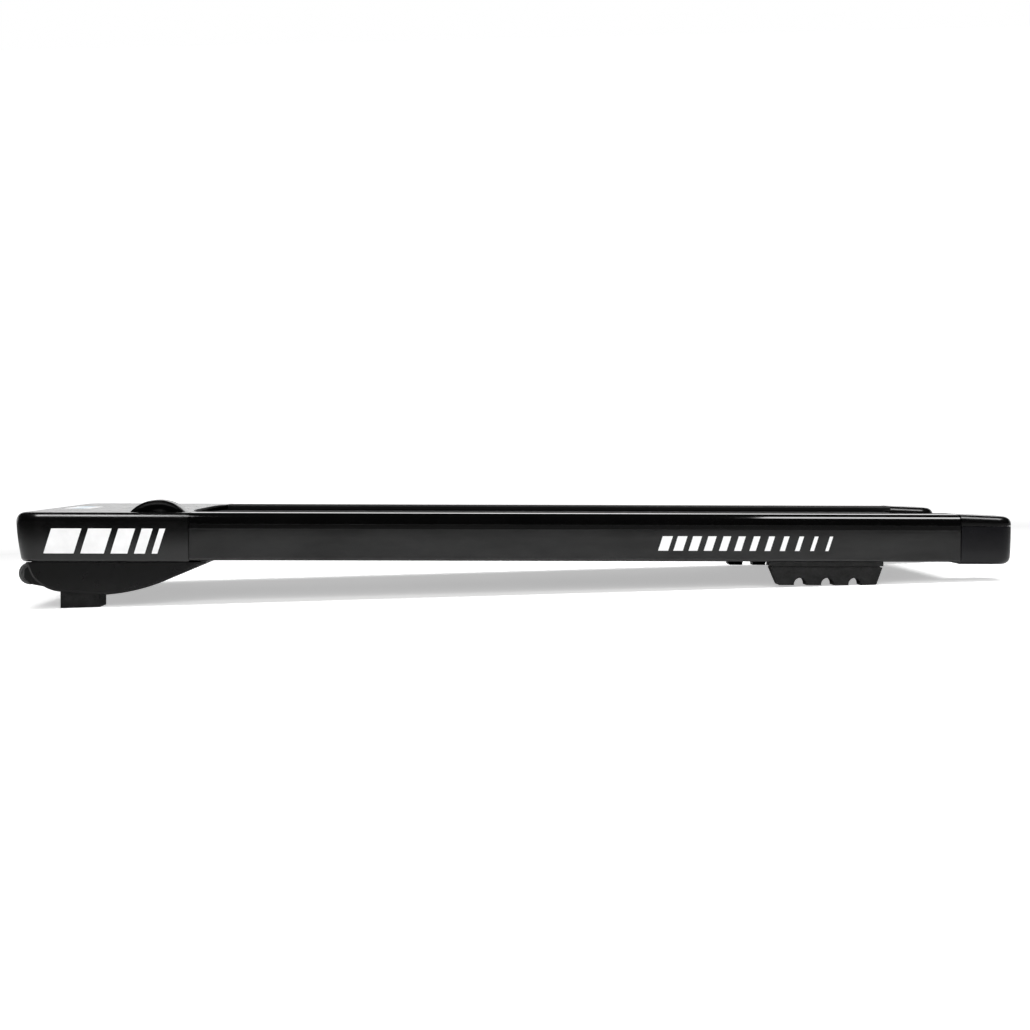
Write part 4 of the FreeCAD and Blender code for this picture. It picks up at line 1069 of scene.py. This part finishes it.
# ---------------------------------------------------------------- mains panel details
PIN_PLACES = ((-7.0, -1.0), (0.0, 2.0), (7.0, -1.0))
PIN_HALF = (1.06, 2.06)
PIN_Z = (-17.5, -8.9)
PIN_R = 0.5
ROCKER_PIVOT = -1.5
ROCKER_REST = math.radians(6.0)
ROCKER_MIDDLE = 1.8
ROCKER_RISE = 1.2 / 7.6
MARK_X = 4.4
MARK_T = 0.06
ON_HALF = (0.3, 1.6)
OFF_R = 1.6
OFF_WIDTH = 0.5


def on_plane(place):
    """Turns a flat point and a height into deck millimetres by that placement."""
    return lambda p, z: place @ Vector((p.x, p.y, z))


def inlet_pins():
    outlines = []
    for x, y in PIN_PLACES:
        w, h = PIN_HALF
        corners = [(x - w, y - h, PIN_R), (x + w, y - h, PIN_R), (x + w, y + h, PIN_R), (x - w, y + h, PIN_R)]
        outlines.append(rounded(corners, 30.0))
    return flat_marks("inlet_pins", outlines, *PIN_Z, on_plane(panel_place(INLET_Y)))


def rocker_place(side):
    """On the rocker's sloping top, on the side of local +X or -X."""
    tip = Matrix.Translation((0, 0, ROCKER_PIVOT)) @ Matrix.Rotation(ROCKER_REST, 4, "Y")
    tip = tip @ Matrix.Translation((side * MARK_X, 0, ROCKER_MIDDLE + ROCKER_RISE * MARK_X - ROCKER_PIVOT))
    return panel_place(SWITCH_Y) @ tip @ Matrix.Rotation(-side * math.atan(ROCKER_RISE), 4, "Y")


def ring_quads(radius, width, count=32):
    """A ring as that many short plates."""
    outlines = []
    for k in range(count):
        a = 2 * math.pi * k / count
        b = 2 * math.pi * (k + 1) / count
        outlines.append([Vector((math.cos(t) * r, math.sin(t) * r))
                         for t, r in ((a, radius), (b, radius), (b, radius - width), (a, radius - width))])
    return outlines


add_piece("inlet_pins", inlet_pins(), bare_steel)
w, h = ON_HALF
on_bar = [[Vector((-w, -h)), Vector((w, -h)), Vector((w, h)), Vector((-w, h))]]
off_ring = ring_quads(OFF_R, OFF_WIDTH)
on_mesh = flat_marks("rocker_on_mark", on_bar, -MARK_T, MARK_T, on_plane(rocker_place(-1)))
off_mesh = flat_marks("rocker_off_mark", off_ring, -MARK_T, MARK_T, on_plane(rocker_place(1)))
add_piece("rocker_on_mark", on_mesh, white_print, body="rocker")
add_piece("rocker_off_mark", off_mesh, white_print, body="rocker")


# ---------------------------------------------------------------- CAD pieces that stay, with softened edges
def recolour(name, mat):
    nodes[name].data.materials.clear()
    nodes[name].data.materials.append(mat)


recolour("wheel_axles", matte_black)
recolour("belly_pan", belly_black)
for name in ("front_foot_left", "front_foot_right", "rear_foot_left", "rear_foot_right"):
    soften(nodes[name], 0.6, 40.0)
for name in ("wheel_bracket_left", "wheel_bracket_right"):
    soften(nodes[name], 0.4, 40.0)
